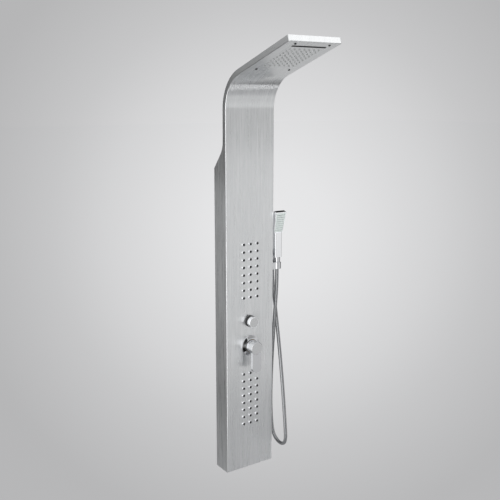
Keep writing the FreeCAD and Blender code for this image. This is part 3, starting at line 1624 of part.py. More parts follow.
def make_spray_face():
    face = plate("face_plate", spray_outline(cell.face_margin), -cell.face_recess,
                 cell.face_thickness - cell.face_recess)
    holes = pins("face_holes", [(x, y, cell.spray_nozzle_radius) for x, y in spray_nozzle_spots()],
                 -cell.face_recess - PAST, cell.face_thickness)
    for piece in (face, holes):
        on_spray_head(piece)
    return cut("spray_face", face, holes)


def make_spray_nozzles():
    nozzles = pins("spray_nozzles", [(x, y, cell.spray_nozzle_radius) for x, y in spray_nozzle_spots()],
                   -cell.face_recess, cell.face_thickness - cell.face_recess + cell.spray_nozzle_proud)
    return on_spray_head(nozzles)


# ---------------------------------------------------------------- hoses

def make_inner_hoses():
    """Five hoses inside the panel, each from its barb's boss to the next one's."""
    plane, top = -cell.hose_plane, DIVERTER_HEIGHT + cell.port_reach
    head_plane = FRONT + SPIGOT_ABOVE
    turn_radius = cell.bend_radius + SPIGOT_ABOVE
    half_turn = (90 - RISE) / 2
    corner_z = cell.upright_height + turn_radius * sine(half_turn) / cosine(half_turn)
    end = head_point(cell.box_start - cell.spigot_boss, SPIGOT_ABOVE)
    pair = []
    for name, side in (("rain_hose", -1), ("waterfall_hose", 1)):
        x = side * cell.gallery_across
        pair.append(inner_hose(name, [
            (x, plane, top), (x, plane, cell.neck_bend_start), (x, head_plane, cell.neck_bend_end),
            (x, head_plane, corner_z), (x, *end),
        ], [cell.neck_bend_radius, cell.neck_bend_radius, turn_radius]))
    hoses = [group("head_hoses", *pair)]
    feed, tee, boss = -cell.manifold_feed_across, -cell.tee_across, cell.elbow_boss
    middle = DIVERTER_HEIGHT
    easing = cell.jet_hose_straight
    for name, way, feed_height in (("upper_jet_hose", 1, UPPER_FEED),
                                   ("lower_jet_hose", -1, LOWER_FEED)):
        start, end = middle + way * boss, feed_height - way * boss
        bend = end - way * (easing + cell.jet_hose_shift)
        hoses.append(inner_hose(name, [
            (tee, plane, start), (tee, plane, bend), (feed, plane, end - way * easing),
            (feed, plane, end),
        ], [cell.jet_hose_radius, cell.jet_hose_radius]))
    tail, outlet = cell.outlet_tail_across, -cell.outlet_depth
    end = OUTLET_HEIGHT - boss
    hoses.append(inner_hose("hand_outlet_hose", [
        (cell.hand_port_across, plane, top),
        (cell.hand_port_across, plane, end - cell.hand_hose_straight - cell.hand_hose_shift),
        (tail, outlet, end - cell.hand_hose_straight), (tail, outlet, end),
    ], [cell.hand_hose_radius, cell.hand_hose_radius]))
    return hoses


def ferrule(name):
    return ring(name, cell.inner_hose_radius, cell.inner_hose_radius + cell.ferrule_wall, 0,
                cell.ferrule_length)


def make_ferrules():
    """A crimped sleeve over each end of the inner hoses."""
    plane, up = -cell.hose_plane, DIVERTER_HEIGHT + cell.port_reach
    boss, length = cell.elbow_boss, cell.ferrule_length
    middle = DIVERTER_HEIGHT
    spots = [
        (-cell.gallery_across, plane, up), (cell.gallery_across, plane, up),
        (cell.hand_port_across, plane, up),
        (-cell.tee_across, plane, middle + boss), (-cell.tee_across, plane, middle - boss - length),
        (-cell.manifold_feed_across, plane, UPPER_FEED - boss - length),
        (-cell.manifold_feed_across, plane, LOWER_FEED + boss),
        (cell.outlet_tail_across, -cell.outlet_depth, OUTLET_HEIGHT - boss - length),
    ]
    pieces = []
    for index, spot in enumerate(spots, start=1):
        pieces.append(place(ferrule(f"ferrule_{index}"), *spot))
    for side, word in ((-1, "rain"), (1, "fall")):
        sleeve = ferrule(f"ferrule_{word}")
        place(sleeve, side * cell.gallery_across,
              *head_point(cell.box_start - cell.spigot_boss, SPIGOT_ABOVE),
              FreeCAD.Rotation(Vector(-1, 0, 0), number(90 + RISE)))
        bind(sleeve, "Placement.Rotation.Angle", 90 + RISE)
        pieces.append(sleeve)
    return group("hose_ferrules", *pieces)


def shower_hose_route():
    """The free hose from its nut, down round its loop and up to the hand shower's cone. The two
    ends sit on their fittings and the points between them are chosen by hand."""
    outlet = (HALF_WIDTH + cell.outlet_reach, -cell.outlet_depth)
    hand = hand_centre()
    chosen = [
        (132.0, -43.0, 612.0), (133.5, -58.0, 522.0), (132.0, -77.0, 428.0),
        (130.0, -95.0, 330.0), (129.5, -108.5, 235.0), (131.0, -116.5, 148.0),
        (134.5, -118.0, 82.0), (139.5, -91.5, 55.0), (141.5, -53.5, 54.0),
        (138.0, -27.0, 81.0), (131.5, -26.0, 146.0), (125.0, -30.5, 232.0),
        (121.0, -39.0, 328.0), (118.5, -48.5, 425.0), (118.5, -57.0, 520.0),
        (121.5, -61.5, 606.0),
    ]
    first_run, last_run = Vector(0, 0, 66), Vector(0, 0, 62)
    start = Vector(number(outlet[0]), number(outlet[1]), number(hose_nut_bottom()))
    end = Vector(number(hand[0]), number(hand[1]), number(cone_bottom()))
    between = [Vector(*spot) for spot in chosen]
    return [start, start - first_run, *between, end - last_run, end]


def make_shower_hose():
    spots = shower_hose_route()
    radii = []
    for before, corner, after in zip(spots, spots[1:], spots[2:]):
        back, forth = before - corner, after - corner
        half_turn = (math.pi - back.getAngle(forth)) / 2
        radii.append(0.45 * min(back.Length, forth.Length) / math.tan(half_turn))
    wire = rounded_path(spots, radii)
    node = add("Part::Feature", "shower_hose")
    node.Shape = tube_along(wire, number(cell.hose_radius))
    expected = math.pi * number(cell.hose_radius) ** 2 * wire.Length
    print("shower hose: length", round(wire.Length, 1), "volume over section times length",
          round(node.Shape.Volume / expected, 4))
    print("shower hose radii:", " ".join(str(round(radius)) for radius in radii))
    return node


# ---------------------------------------------------------------- the whole column

def make_column():
    knob_seat = cell.diverter_knob_top - cell.knob_front / 2
    return [
        make_front_panel(), make_back_cover(), make_cover_bridge(), make_cover_screws(),
        group("wall_brackets", make_wall_bracket("upper_bracket", cell.upper_bracket_height),
              make_wall_bracket("lower_bracket", cell.lower_bracket_height)),
        group("hanging_rails", make_hanging_rail("upper_rail", cell.upper_bracket_height),
              make_hanging_rail("lower_rail", cell.lower_bracket_height)),
        make_rain_mat(), make_waterfall_nozzle(), make_water_box(), make_head_screws(),
        make_jets(), make_jet_tips(),
        make_manifold("upper_jet_manifold", UPPER_JETS, UPPER_FEED, -1),
        make_manifold("lower_jet_manifold", LOWER_JETS, LOWER_FEED, 1),
        make_diverter_body(),
        make_panel_nut("diverter_panel_nut", cell.diverter_collar, cell.diverter_nut_radius,
                       cell.diverter_collar_length, DIVERTER_HEIGHT),
        make_rose("diverter_escutcheon", cell.diverter_rose_radius,
                  cell.diverter_rose_height - cell.edge_break,
                  cell.diverter_rose_radius - cell.edge_break, cell.diverter_rose_height,
                  cell.diverter_rose_bore, DIVERTER_HEIGHT),
        make_diverter_cartridge(), make_diverter_stem(), make_diverter_knob(),
        make_axial_screw("diverter_knob_screw", cell.knob_screw_radius, cell.knob_screw_head,
                         knob_seat, cell.knob_front / 2 - cell.cap_thickness,
                         cell.knob_screw_length, DIVERTER_HEIGHT),
        make_cap("diverter_cap", cell.knob_cap_radius, cell.diverter_knob_top, DIVERTER_HEIGHT),
        make_jet_tee(), make_mixer_body(),
        make_panel_nut("mixer_panel_nut", cell.mixer_collar, cell.mixer_nut_radius,
                       cell.mixer_collar_length, cell.mixer_height),
        make_rose("mixer_escutcheon", cell.mixer_rose_radius, cell.mixer_rose_rim,
                  cell.mixer_rose_top, cell.mixer_rose_height, cell.mixer_rose_bore,
                  cell.mixer_height),
        make_valve_housing(),
        on_front(ring("cartridge_nut", cell.valve_neck + cell.run_gap, cell.valve_radius,
                      -cell.valve_shoulder, cell.mixer_collar_length), 0, cell.mixer_height),
        make_disc("fixed_disc", -cell.valve_depth + cell.disc_thickness, cell.valve_cavity),
        make_disc("moving_disc", fixed_disc_top(), cell.valve_neck),
        make_turning_sleeve(), make_pivot_pin(), make_stem(), make_handle(),
        make_axial_screw("handle_screw", cell.handle_screw_radius, cell.handle_screw_head,
                         handle_screw_seat(), cell.handle_front - cell.cap_thickness,
                         cell.handle_screw_length, cell.mixer_height),
        make_cap("handle_cap", cell.cap_radius, cell.handle_top, cell.mixer_height),
        make_inlet_nipples(),
        make_nipple_inserts("check_valves", cell.barb_bore, cell.filter_length,
                            cell.check_valve_length),
        make_nipple_inserts("inlet_filters", cell.outlet_bore, 0, cell.filter_length),
        make_union_tube(), make_union_nut(),
        make_outlet_elbow(), make_outlet_nut(), make_outlet_tail(),
        on_side(ring("outlet_rosette", cell.outlet_radius, cell.outlet_rose_radius, 0,
                     cell.outlet_rose_height), -cell.outlet_depth, OUTLET_HEIGHT),
        make_hose_nut(), make_hose_washers(), make_holder(), make_holder_screws(),
        make_hand_shower(), make_spray_face(), make_spray_nozzles(), make_hose_cone(),
        make_cone_washer(), *make_inner_hoses(), make_ferrules(), make_shower_hose(),
    ]


def check_and_export(nodes):
    doc.recompute()
    for thing in doc.Objects:
        if "Invalid" in thing.State or "Error" in thing.State:
            raise RuntimeError(f"{thing.Label} failed: {thing.State}")
    for node in nodes:
        if node.Shape.isNull() or not node.Shape.isValid() or not node.Shape.Solids:
            raise RuntimeError(f"{node.Label} has no sound shape")
    os.makedirs("parts", exist_ok=True)
    for node in nodes:
        node.Shape.exportStep(f"parts/{node.Label}.step")
        print(node.Label, len(node.Shape.Solids), "solids,", round(node.Shape.Volume), "mm3")
    print(len(nodes), "nodes")


check_and_export(make_column())
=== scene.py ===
# %% [markdown]
# # A shower panel column
#
# The object is one bent stainless sheet with side flanges that hangs on a bathroom wall. It curves
# forward at the top into a head with rain nozzles and a waterfall slot. On its front are two fields
# of body jets, a diverter knob and a lever mixer. A hand shower sits in a cup on the right flange,
# with its metal hose in a long loop beside the panel.
#
# The imported model already has every piece at its real size and place. This lesson dresses it: it
# gives each piece a smooth surface and a finish, makes the hose as a soft line, and sets up the
# camera and a pale studio. The model is loaded first, because every later step reads its pieces.

# %% The imported model
import bmesh
import bpy
import json
import math
from mathutils import Matrix, Vector


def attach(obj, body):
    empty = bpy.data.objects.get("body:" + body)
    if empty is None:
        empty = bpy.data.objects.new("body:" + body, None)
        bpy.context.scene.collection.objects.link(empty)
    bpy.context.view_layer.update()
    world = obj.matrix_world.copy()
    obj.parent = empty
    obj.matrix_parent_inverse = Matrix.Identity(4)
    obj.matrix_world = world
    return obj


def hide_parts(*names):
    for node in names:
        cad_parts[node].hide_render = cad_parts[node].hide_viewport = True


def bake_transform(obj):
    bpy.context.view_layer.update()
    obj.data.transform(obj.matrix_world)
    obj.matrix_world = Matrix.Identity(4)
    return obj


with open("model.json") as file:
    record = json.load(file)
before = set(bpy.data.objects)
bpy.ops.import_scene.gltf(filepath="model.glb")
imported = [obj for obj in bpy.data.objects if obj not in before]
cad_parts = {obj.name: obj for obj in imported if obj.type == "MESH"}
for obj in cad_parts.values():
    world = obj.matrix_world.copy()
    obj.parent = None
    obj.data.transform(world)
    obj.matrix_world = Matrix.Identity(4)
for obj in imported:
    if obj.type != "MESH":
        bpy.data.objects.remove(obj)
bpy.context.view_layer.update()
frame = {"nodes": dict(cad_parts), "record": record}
scene = bpy.context.scene
MM = 0.001

# %% [markdown]
# ## The camera
#
# The photograph looks down on the panel from the upper left, with a long lens. A camera can be
# turned by hand until the picture fits. Here its right, up and backward directions are written
# down instead, because they were worked out from the straight edges of the panel and fit it
# closely.

# %% The camera at the photograph's angle
right = Vector((0.828971, -0.559291, 0.0003))
upward = Vector((0.112128, 0.166705, 0.979610))
backward = right.cross(upward)
camera_place = (-1.42424, -2.18450, 1.34993)
camera_data = bpy.data.cameras.new("view")
camera_data.lens = 52.9
camera_data.sensor_width = 36.0
camera_data.clip_end = 200.0
camera = bpy.data.objects.new("view", camera_data)
turn = Matrix((right, upward, backward)).transposed().to_4x4()
camera.matrix_world = Matrix.Translation(camera_place) @ turn
scene.collection.objects.link(camera)
scene.camera = camera
print("the camera looks along", -backward)

# %% [markdown]
# ## Helpers for finishes
#
# A finish is a small tree of nodes, and each node could be set up on lines of its own, but then one
# finish fills a page. Two small functions keep it short. The first turns a colour as a screen shows
# it, written in hex, into the linear light that a shader wants, by the curve that screens use. The
# second adds a node with its settings and links.

# %% Colour and node helpers
def linear(code):
    """A screen colour such as "c8c8c4" as linear red, green, blue and alpha."""
    values = []
    for start in (0, 2, 4):
        value = int(code[start:start + 2], 16) / 255
        values.append(value / 12.92 if value <= 0.04045 else ((value + 0.055) / 1.055) ** 2.4)
    return (*values, 1.0)


def add_node(tree, kind, settings=None, inputs=None):
    """Adds a node, sets its settings, and sets or links its inputs by name or number."""
    made = tree.nodes.new(kind)
    for word, value in (settings or {}).items():
        setattr(made, word, value)
    for word, value in (inputs or {}).items():
        socket = made.inputs[word]
        if isinstance(value, bpy.types.NodeSocket):
            tree.links.new(value, socket)
        else:
            socket.default_value = value
    return made


# A Mix node keeps sockets for numbers, directions and colours side by side under the same names,
# so a script reaches them by their number.
NUMBER_A, NUMBER_B, NUMBER_OUT = 2, 3, 0
DIRECTION_A, DIRECTION_B, DIRECTION_OUT = 4, 5, 1
COLOUR_A, COLOUR_B, COLOUR_OUT = 6, 7, 2
print("a middle grey as linear light:", linear("808080"))


# %% [markdown]
# Every finish starts with one shader, and a shader alone gives one even tone. The patterns that
# break it up could be painted on an unwrapped piece. Here they read the place on the piece in
# Object coordinates, which are real metres, so a spacing in millimetres stays true.

# %% A material with its shader
def new_finish(name, shader_inputs):
    """A material with one shader, and the coordinates that its pattern reads."""
    finish = bpy.data.materials.new(name)
    finish.use_nodes = True
    tree = finish.node_tree
    tree.nodes.clear()
    shader = add_node(tree, "ShaderNodeBsdfPrincipled", inputs=shader_inputs)
    output = add_node(tree, "ShaderNodeOutputMaterial")
    tree.links.new(shader.outputs[0], output.inputs[0])
    place = add_node(tree, "ShaderNodeTexCoord").outputs["Object"]
    return finish, tree, shader, place


def feed(tree, shader, sources):
    """Links each source to the shader's input of that name."""
    for word, source in sources.items():
        tree.links.new(source, shader.inputs[word])


finishes = {}
print("ready for the finishes")

# %% [markdown]
# ## Brushed stainless sheet
#
# The panel is stainless steel that was brushed with a belt along its length before it was bent.
# The belt leaves hairlines, and each one is a tiny groove. Light spreads sideways across grooves
# and stays sharp along them, which a shader calls anisotropic. It asks for one direction, its
# tangent. A flat image of scratches could be laid on the sheet instead, but it would stretch in
# the bend. So the direction across the grooves is worked out at each spot. On the front it is X.
# On a flange it turns with the bend, because the hairlines run up, round the bend and out along
# the head.

# %% The direction across the hairlines
head_rise = 18  # degrees above level
bend_middle = (0.0, -193 * MM, 1316 * MM)
bend_end = math.radians(90 - head_rise)
flange_facing = 0.7  # a face that looks further sideways than this belongs to a flange


def across_the_grooves(tree, from_bend):
    """A direction in the sheet: X on the front, and away from the bend's middle on a flange."""
    facing = add_node(tree, "ShaderNodeNewGeometry").outputs["True Normal"]
    sideways = add_node(tree, "ShaderNodeSeparateXYZ", inputs={"Vector": facing}).outputs["X"]
    size_of = add_node(tree, "ShaderNodeMath", {"operation": "ABSOLUTE"}, {0: sideways}).outputs[0]
    on_flange = add_node(tree, "ShaderNodeMath", {"operation": "GREATER_THAN"},
                         {0: size_of, 1: flange_facing}).outputs[0]
    reach = add_node(tree, "ShaderNodeSeparateXYZ", inputs={"Vector": from_bend}).outputs
    turned_by = add_node(tree, "ShaderNodeMath", {"operation": "ARCTAN2"},
                         {0: reach["Z"], 1: reach["Y"]}).outputs[0]
    along_bend = add_node(tree, "ShaderNodeClamp", inputs={
        "Value": turned_by, "Min": 0.0, "Max": bend_end}).outputs[0]
    depthward, upward_part = (
        add_node(tree, "ShaderNodeMath", {"operation": way}, {0: along_bend}).outputs[0]
        for way in ("COSINE", "SINE"))
    over_flange = add_node(tree, "ShaderNodeCombineXYZ", inputs={
        "Y": depthward, "Z": upward_part}).outputs[0]
    return add_node(tree, "ShaderNodeMix", {"data_type": "VECTOR"}, {
        "Factor": on_flange, DIRECTION_A: (1, 0, 0),
        DIRECTION_B: over_flange}).outputs[DIRECTION_OUT]


print("the head rises", head_rise, "degrees, and the bend turns about", bend_middle)


# %% [markdown]
# The hairlines themselves could be an image of a real sheet. A noise that is squeezed across the
# grooves and drawn out along them gives the same streaks without one, and never repeats. Real
# hairlines are a few tenths of a millimetre apart. They are drawn as fine ones 2.2 mm apart and
# broad streaks 9 mm apart, coarser than real ones, so that they show from two metres away.

# %% Streaks along the sheet
fine_spacing = 2.2 * MM
fine_length = 300 * MM
broad_spacing = 9 * MM
broad_length = 120 * MM
broad_share = 0.4


def hairlines(tree, place, across, spacing, length):
    """Streaks that change fast with the distance across them, and slowly with height and depth."""
    slow = add_node(tree, "ShaderNodeMapping", inputs={
        "Vector": place, "Scale": (0, 1 / length, 1 / length)}).outputs[0]
    quick = add_node(tree, "ShaderNodeMath", {"operation": "MULTIPLY"},
                     {0: across, 1: 1 / spacing}).outputs[0]
    aside = add_node(tree, "ShaderNodeCombineXYZ", inputs={"X": quick}).outputs[0]
    drawn_out = add_node(tree, "ShaderNodeVectorMath", {"operation": "ADD"},
                         {0: slow, 1: aside}).outputs[0]
    return add_node(tree, "ShaderNodeTexNoise", {"noise_dimensions": "3D"}, {
        "Vector": drawn_out, "Scale": 1.0, "Detail": 4.0, "Roughness": 0.65}).outputs["Fac"]


print("hairlines every", fine_spacing / MM, "mm, streaks every", broad_spacing / MM, "mm")


# %% [markdown]
# The streaks then do three things at once, as real grooves do: they darken the steel a little, they
# change how rough it is, and they tilt the light by a trace of relief. Inside the column the same
# steel is left as it came from the mill, darker and duller, with no direction in its shine.

# %% Brushed stainless steel for the panel, plain steel for the inside
def brushed_steel(name, tone, roughness, spread):
    """Steel sheet with hairlines; spread says how far light runs across them, from 0 to 1."""
    finish, tree, shader, place = new_finish(name, {"Metallic": 1.0, "Anisotropic": spread})
    from_bend = add_node(tree, "ShaderNodeVectorMath", {"operation": "SUBTRACT"},
                         {0: place, 1: bend_middle}).outputs[0]
    over_grooves = across_the_grooves(tree, from_bend)
    across = add_node(tree, "ShaderNodeVectorMath", {"operation": "DOT_PRODUCT"},
                      {0: from_bend, 1: over_grooves}).outputs["Value"]
    fine = hairlines(tree, place, across, fine_spacing, fine_length)
    broad = hairlines(tree, place, across, broad_spacing, broad_length)
    both = add_node(tree, "ShaderNodeMix", {"data_type": "FLOAT"}, {
        "Factor": broad_share, NUMBER_A: fine, NUMBER_B: broad}).outputs[NUMBER_OUT]
    grain = add_node(tree, "ShaderNodeMapRange", inputs={
        "Value": both, "From Min": 0.41, "From Max": 0.59}).outputs[0]
    dark, light = tone
    colour = add_node(tree, "ShaderNodeMix", {"data_type": "RGBA"}, {
        "Factor": grain, COLOUR_A: linear(dark), COLOUR_B: linear(light)}).outputs[COLOUR_OUT]
    rough = add_node(tree, "ShaderNodeMapRange", inputs={
        "Value": grain, "To Min": roughness - 0.03, "To Max": roughness + 0.03}).outputs[0]
    relief = add_node(tree, "ShaderNodeBump", inputs={
        "Height": grain, "Strength": 0.04, "Distance": 0.05 * MM}).outputs[0]
    feed(tree, shader, {"Base Color": colour, "Roughness": rough, "Normal": relief,
                        "Tangent": over_grooves})
    return finish


# Brushed sheet: a pale silvery front whose reflections run out sideways into soft bands.
finishes["panel_steel"] = brushed_steel("brushed_stainless_sheet", ("d6d8d9", "e5e6e7"),
                                        roughness=0.3, spread=0.9)
# Mill-finish sheet: a dull mid grey that draws no eye to the brackets and rails.
finishes["inner_steel"] = brushed_steel("plain_stainless_sheet", ("8f9192", "a9abac"),
                                        roughness=0.45, spread=0.0)
print("sheet finishes:", [finish.name for finish in finishes.values()])


# %% [markdown]
# ## Polished chrome
#
# Knob, lever, cup, hand shower, fittings and the rings of the jets are chrome plated. Chrome is a
# nearly perfect, slightly cool mirror. One low roughness could do, but it looks too clean. Real
# plating carries a breath of water marks and wiping traces, so a slow noise changes the roughness a
# little, over patches of about 14 mm.

# %% Chrome plating
def chrome(name, tone, roughness):
    """A mirror of one tone, whose sharpness changes slowly from patch to patch."""
    finish, tree, shader, place = new_finish(name, {"Metallic": 1.0, "Base Color": linear(tone)})
    marks = add_node(tree, "ShaderNodeTexNoise", {"noise_dimensions": "3D"},
                     {"Vector": place, "Scale": 1 / (14 * MM), "Detail": 4.0}).outputs["Fac"]
    rough = add_node(tree, "ShaderNodeMapRange", inputs={
        "Value": marks, "From Min": 0.35, "From Max": 0.75,
        "To Min": roughness, "To Max": roughness + 0.06}).outputs[0]
    feed(tree, shader, {"Roughness": rough})
    return finish


# Polished plate of lever, cup and fittings: sharp reflections, a little darker than life.
finishes["chrome"] = chrome("polished_chrome_plate", "d2d3d5", roughness=0.05)
# Rolled strip of the hose: a greyer, softer shine that runs round each rib.
finishes["hose_strip"] = chrome("rolled_chrome_strip", "9b9c9e", roughness=0.2)
# Chrome on ABS of hand shower, knob and jet rings: a brighter, slightly softer mirror.
finishes["bright_chrome"] = chrome("bright_chrome_on_abs", "f2f3f5", roughness=0.08)
print("chrome finishes:", [finishes[slot].name for slot in ("chrome", "hose_strip", "bright_chrome")])


# %% [markdown]
# ## Turned caps
#
# The round caps of the knob and the lever are stainless discs that were faced on a lathe. The tool
# leaves rings round the centre. An anisotropic shader with a turning tangent would also give the
# fans of light that such discs show close up, but from two metres away the caps are a dozen pixels
# wide and read as an even grey. So only the rings are drawn, by a fine noise of the distance from
# the axis. The finish is told the height of its axis and measures from there. The rings are 0.7 mm
# apart, coarser than a lathe's, so that they show in a close view.

# %% Turned stainless caps
def turned_steel(name, axis_height, tone, roughness):
    """Steel with rings round an axis that runs from front to back at the given height."""
    finish, tree, shader, place = new_finish(name, {"Metallic": 1.0})
    centred = add_node(tree, "ShaderNodeMapping", inputs={
        "Vector": place, "Location": (0, 0, -axis_height), "Scale": (1, 0, 1)}).outputs[0]
    distance = add_node(tree, "ShaderNodeVectorMath", {"operation": "LENGTH"},
                        {0: centred}).outputs["Value"]
    rings = add_node(tree, "ShaderNodeTexNoise", {"noise_dimensions": "1D"},
                     {"W": distance, "Scale": 1 / (0.7 * MM), "Detail": 2.0}).outputs["Fac"]
    dark, light = tone
    colour = add_node(tree, "ShaderNodeMix", {"data_type": "RGBA"}, {
        "Factor": rings, COLOUR_A: linear(dark), COLOUR_B: linear(light)}).outputs[COLOUR_OUT]
    rough = add_node(tree, "ShaderNodeMapRange", inputs={
        "Value": rings, "From Min": 0.3, "From Max": 0.7,
        "To Min": roughness - 0.05, "To Max": roughness + 0.05}).outputs[0]
    relief = add_node(tree, "ShaderNodeBump", inputs={
        "Height": rings, "Strength": 0.3, "Distance": 0.05 * MM}).outputs[0]
    feed(tree, shader, {"Base Color": colour, "Roughness": rough, "Normal": relief})
    return finish


diverter_height = 566.5 * MM
mixer_height = 475 * MM
cap_tone = ("bdbebf", "d9dadb")
# Turned stainless: a soft silver disc with faint rings, calmer than the chrome round it.
diverter_cap_finish = turned_steel("turned_cap_diverter", diverter_height, cap_tone, roughness=0.3)
finishes["cap_steel"] = turned_steel("turned_cap_mixer", mixer_height, cap_tone, roughness=0.3)
print("turned finishes round heights", diverter_height, "and", mixer_height)


# %% [markdown]
# ## Rubber, plastic, brass and ceramic
#
# Most other pieces are moulded or cast. Each of these materials could have a tree of its own, but
# they share one recipe: a colour that wavers a little, and a fine grain in the surface. What sets
# them apart is how strong the waver is, how large the grain is and how rough or metallic the
# surface is. Silicone is matt with a skin as fine as flour, cast brass is pebbled from its sand
# mould, and ABS has the faint spark-eroded grain of its tool.

# %% The recipe of moulded and cast finishes
def grained(name, tone, roughness, grain, depth, metallic=0.0, patch=20 * MM):
    """A colour that wavers from patch to patch, and pebbles of the given size and depth."""
    finish, tree, shader, place = new_finish(name, {"Metallic": metallic})
    patches, pebbles = (
        add_node(tree, "ShaderNodeTexNoise", {"noise_dimensions": "3D"},
                 {"Vector": place, "Scale": 1 / size, "Detail": 2.0}).outputs["Fac"]
        for size in (patch, grain))
    dark, light = tone
    colour = add_node(tree, "ShaderNodeMix", {"data_type": "RGBA"}, {
        "Factor": patches, COLOUR_A: linear(dark), COLOUR_B: linear(light)}).outputs[COLOUR_OUT]
    rough = add_node(tree, "ShaderNodeMapRange", inputs={
        "Value": pebbles, "From Min": 0.3, "From Max": 0.7,
        "To Min": roughness - 0.04, "To Max": roughness + 0.04}).outputs[0]
    relief = add_node(tree, "ShaderNodeBump", inputs={
        "Height": pebbles, "Strength": 0.4, "Distance": depth}).outputs[0]
    feed(tree, shader, {"Base Color": colour, "Roughness": rough, "Normal": relief})
    return finish


# %% [markdown]
# Most real grains are a tenth of a millimetre and finer, and are lost from two metres away. They
# could be left out, but then plastic looks like wax. They are drawn at 0.5 to 1.2 mm, as coarse as
# they need to be to show close up. The plate and the nozzles of the hand shower's face are told
# apart by tone and by shine.

# %% Moulded and cast finishes
# Silicone of the rain nozzles: pale, matt and soft against the steel.
finishes["silicone"] = grained("pale_silicone", ("b9bbb9", "cfd1cf"),
                               roughness=0.55, grain=0.8 * MM, depth=0.03 * MM)
# White ABS of water box and manifolds: a calm white with a wide, weak shine.
finishes["white_plastic"] = grained("white_abs", ("dadad6", "e8e8e5"),
                                    roughness=0.42, grain=0.7 * MM, depth=0.03 * MM)
# Near-black finish of waterfall nozzle and collars: near black with a dull shine along its edges.
finishes["dark_plastic"] = grained("near_black_finish", ("0d0d0e", "19191b"),
                                   roughness=0.45, grain=0.7 * MM, depth=0.02 * MM)
# Nitrile rubber of jet tips and washers: black that gives back almost no light.
finishes["black_rubber"] = grained("nitrile_rubber", ("0f0f10", "1d1d1e"),
                                   roughness=0.7, grain=0.6 * MM, depth=0.04 * MM)
# Alumina of the mixer's discs: creamy white and smooth as a plate.
finishes["ceramic"] = grained("alumina_ceramic", ("dcd9d2", "efece6"),
                              roughness=0.2, grain=1.2 * MM, depth=0.01 * MM)
# Satin ABS of the spray plate: a cool white that lets the nozzles stand out.
finishes["spray_plastic"] = grained("satin_abs_spray_plate", ("e2ebe7", "eef4f1"),
                                    roughness=0.32, grain=0.9 * MM, depth=0.02 * MM)
# Silicone of the spray nozzles: mid grey dots, matt against the satin plate.
finishes["spray_silicone"] = grained("grey_spray_silicone", ("7d8482", "8f9694"),
                                     roughness=0.5, grain=0.8 * MM, depth=0.03 * MM)
print(len(finishes), "finishes so far")


# %% [markdown]
# Three metals use the same recipe. They could be chrome or brushed steel in another tone, but what
# tells them apart from those is their grain: the sand of a casting, the fine skin of a rolled screw
# and the open weave of a filter.

# %% Cast brass, screw steel and gauze
# Sand-cast brass of the valve bodies: warm yellow with a pebbled shine.
finishes["brass"] = grained("cast_brass", ("a98549", "c9a463"), metallic=1.0,
                            roughness=0.33, grain=1.1 * MM, depth=0.08 * MM)
# Stainless of screws and pins: small bright heads with a clear shine.
finishes["screw_steel"] = grained("stainless_screw", ("a9abad", "c9cbcd"), metallic=1.0,
                                  roughness=0.24, grain=0.5 * MM, depth=0.01 * MM, patch=4 * MM)
# Woven gauze of the inlet filters: grey metal with a broken, glittering shine.
finishes["filter_mesh"] = grained("filter_gauze", ("6f7173", "9a9c9e"), metallic=1.0,
                                  roughness=0.4, grain=0.6 * MM, depth=0.1 * MM, patch=1 * MM)
print(len(finishes), "finishes so far")


# %% [markdown]
# ## Braided inner hoses
#
# Behind the sheet, rubber hoses in a woven jacket carry the water. Each strand could be modelled,
# but the hoses show only from behind. So the weave is a pattern: two sets of slanted bands, one
# leaning to the right and one to the left, which look like a weave where they meet. The bands
# repeat every 3 mm, a guess that is coarse enough to show.

# %% Woven jacket of the inner hoses
strand_repeat = 3 * MM
strand_lean = 35  # degrees
wave_repeat = 0.314  # a wave texture repeats after this distance at a scale of 1


def woven_jacket(name, tone):
    """Two sets of bands that lean against each other, drawn as colour and as relief."""
    finish, tree, shader, place = new_finish(name, {"Metallic": 0.0, "Roughness": 0.5})
    bands = []
    for lean in (math.radians(strand_lean), math.radians(-strand_lean)):
        slanted = add_node(tree, "ShaderNodeMapping", inputs={
            "Vector": place, "Rotation": (lean, lean, 0)}).outputs[0]
        wave = add_node(tree, "ShaderNodeTexWave", {"wave_type": "BANDS", "bands_direction": "Z"}, {
            "Vector": slanted, "Scale": wave_repeat / strand_repeat, "Distortion": 0.4})
        bands.append(wave.outputs["Fac"])
    weave = add_node(tree, "ShaderNodeMath", {"operation": "MAXIMUM"},
                     {0: bands[0], 1: bands[1]}).outputs[0]
    dark, light = tone
    colour = add_node(tree, "ShaderNodeMix", {"data_type": "RGBA"}, {
        "Factor": weave, COLOUR_A: linear(dark), COLOUR_B: linear(light)}).outputs[COLOUR_OUT]
    relief = add_node(tree, "ShaderNodeBump", inputs={
        "Height": weave, "Strength": 0.5, "Distance": 0.3 * MM}).outputs[0]
    feed(tree, shader, {"Base Color": colour, "Normal": relief})
    return finish


# Woven jacket over rubber: grey diamonds with a low, soft shine.
finishes["hose_jacket"] = woven_jacket("woven_hose_jacket", ("6d7075", "a6a9ad"))
print("jacket finish:", finishes["hose_jacket"].name)

# %% [markdown]
# ## Smooth surfaces for the model's pieces
#
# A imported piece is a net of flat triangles, which a mirror finish shows at once. The pieces could
# be modelled again, but their sizes are already right. So each visible piece gets a copy with a
# better surface: the triangles are joined at their corners, all faces are shaded smooth, and only
# edges that turn by more than 32 degrees stay sharp.

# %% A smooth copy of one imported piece
sharp_angle = math.radians(32)
same_corner = 0.002 * MM  # corners nearer than this are one corner
own_finishes = {
    "diverter_cap": diverter_cap_finish,
    "spray_nozzles": finishes["spray_silicone"],
    "hand_shower_body": finishes["bright_chrome"],
    "jet_nozzles": finishes["bright_chrome"],
    "diverter_knob": finishes["bright_chrome"],
    # The head screws take the near-black finish, which draws them as dark dots.
    "head_screws": finishes["dark_plastic"],
}


def slot_of(name):
    return next(entry["material_slot"] for entry in frame["record"]["subparts"]
                if entry["node"] == name)


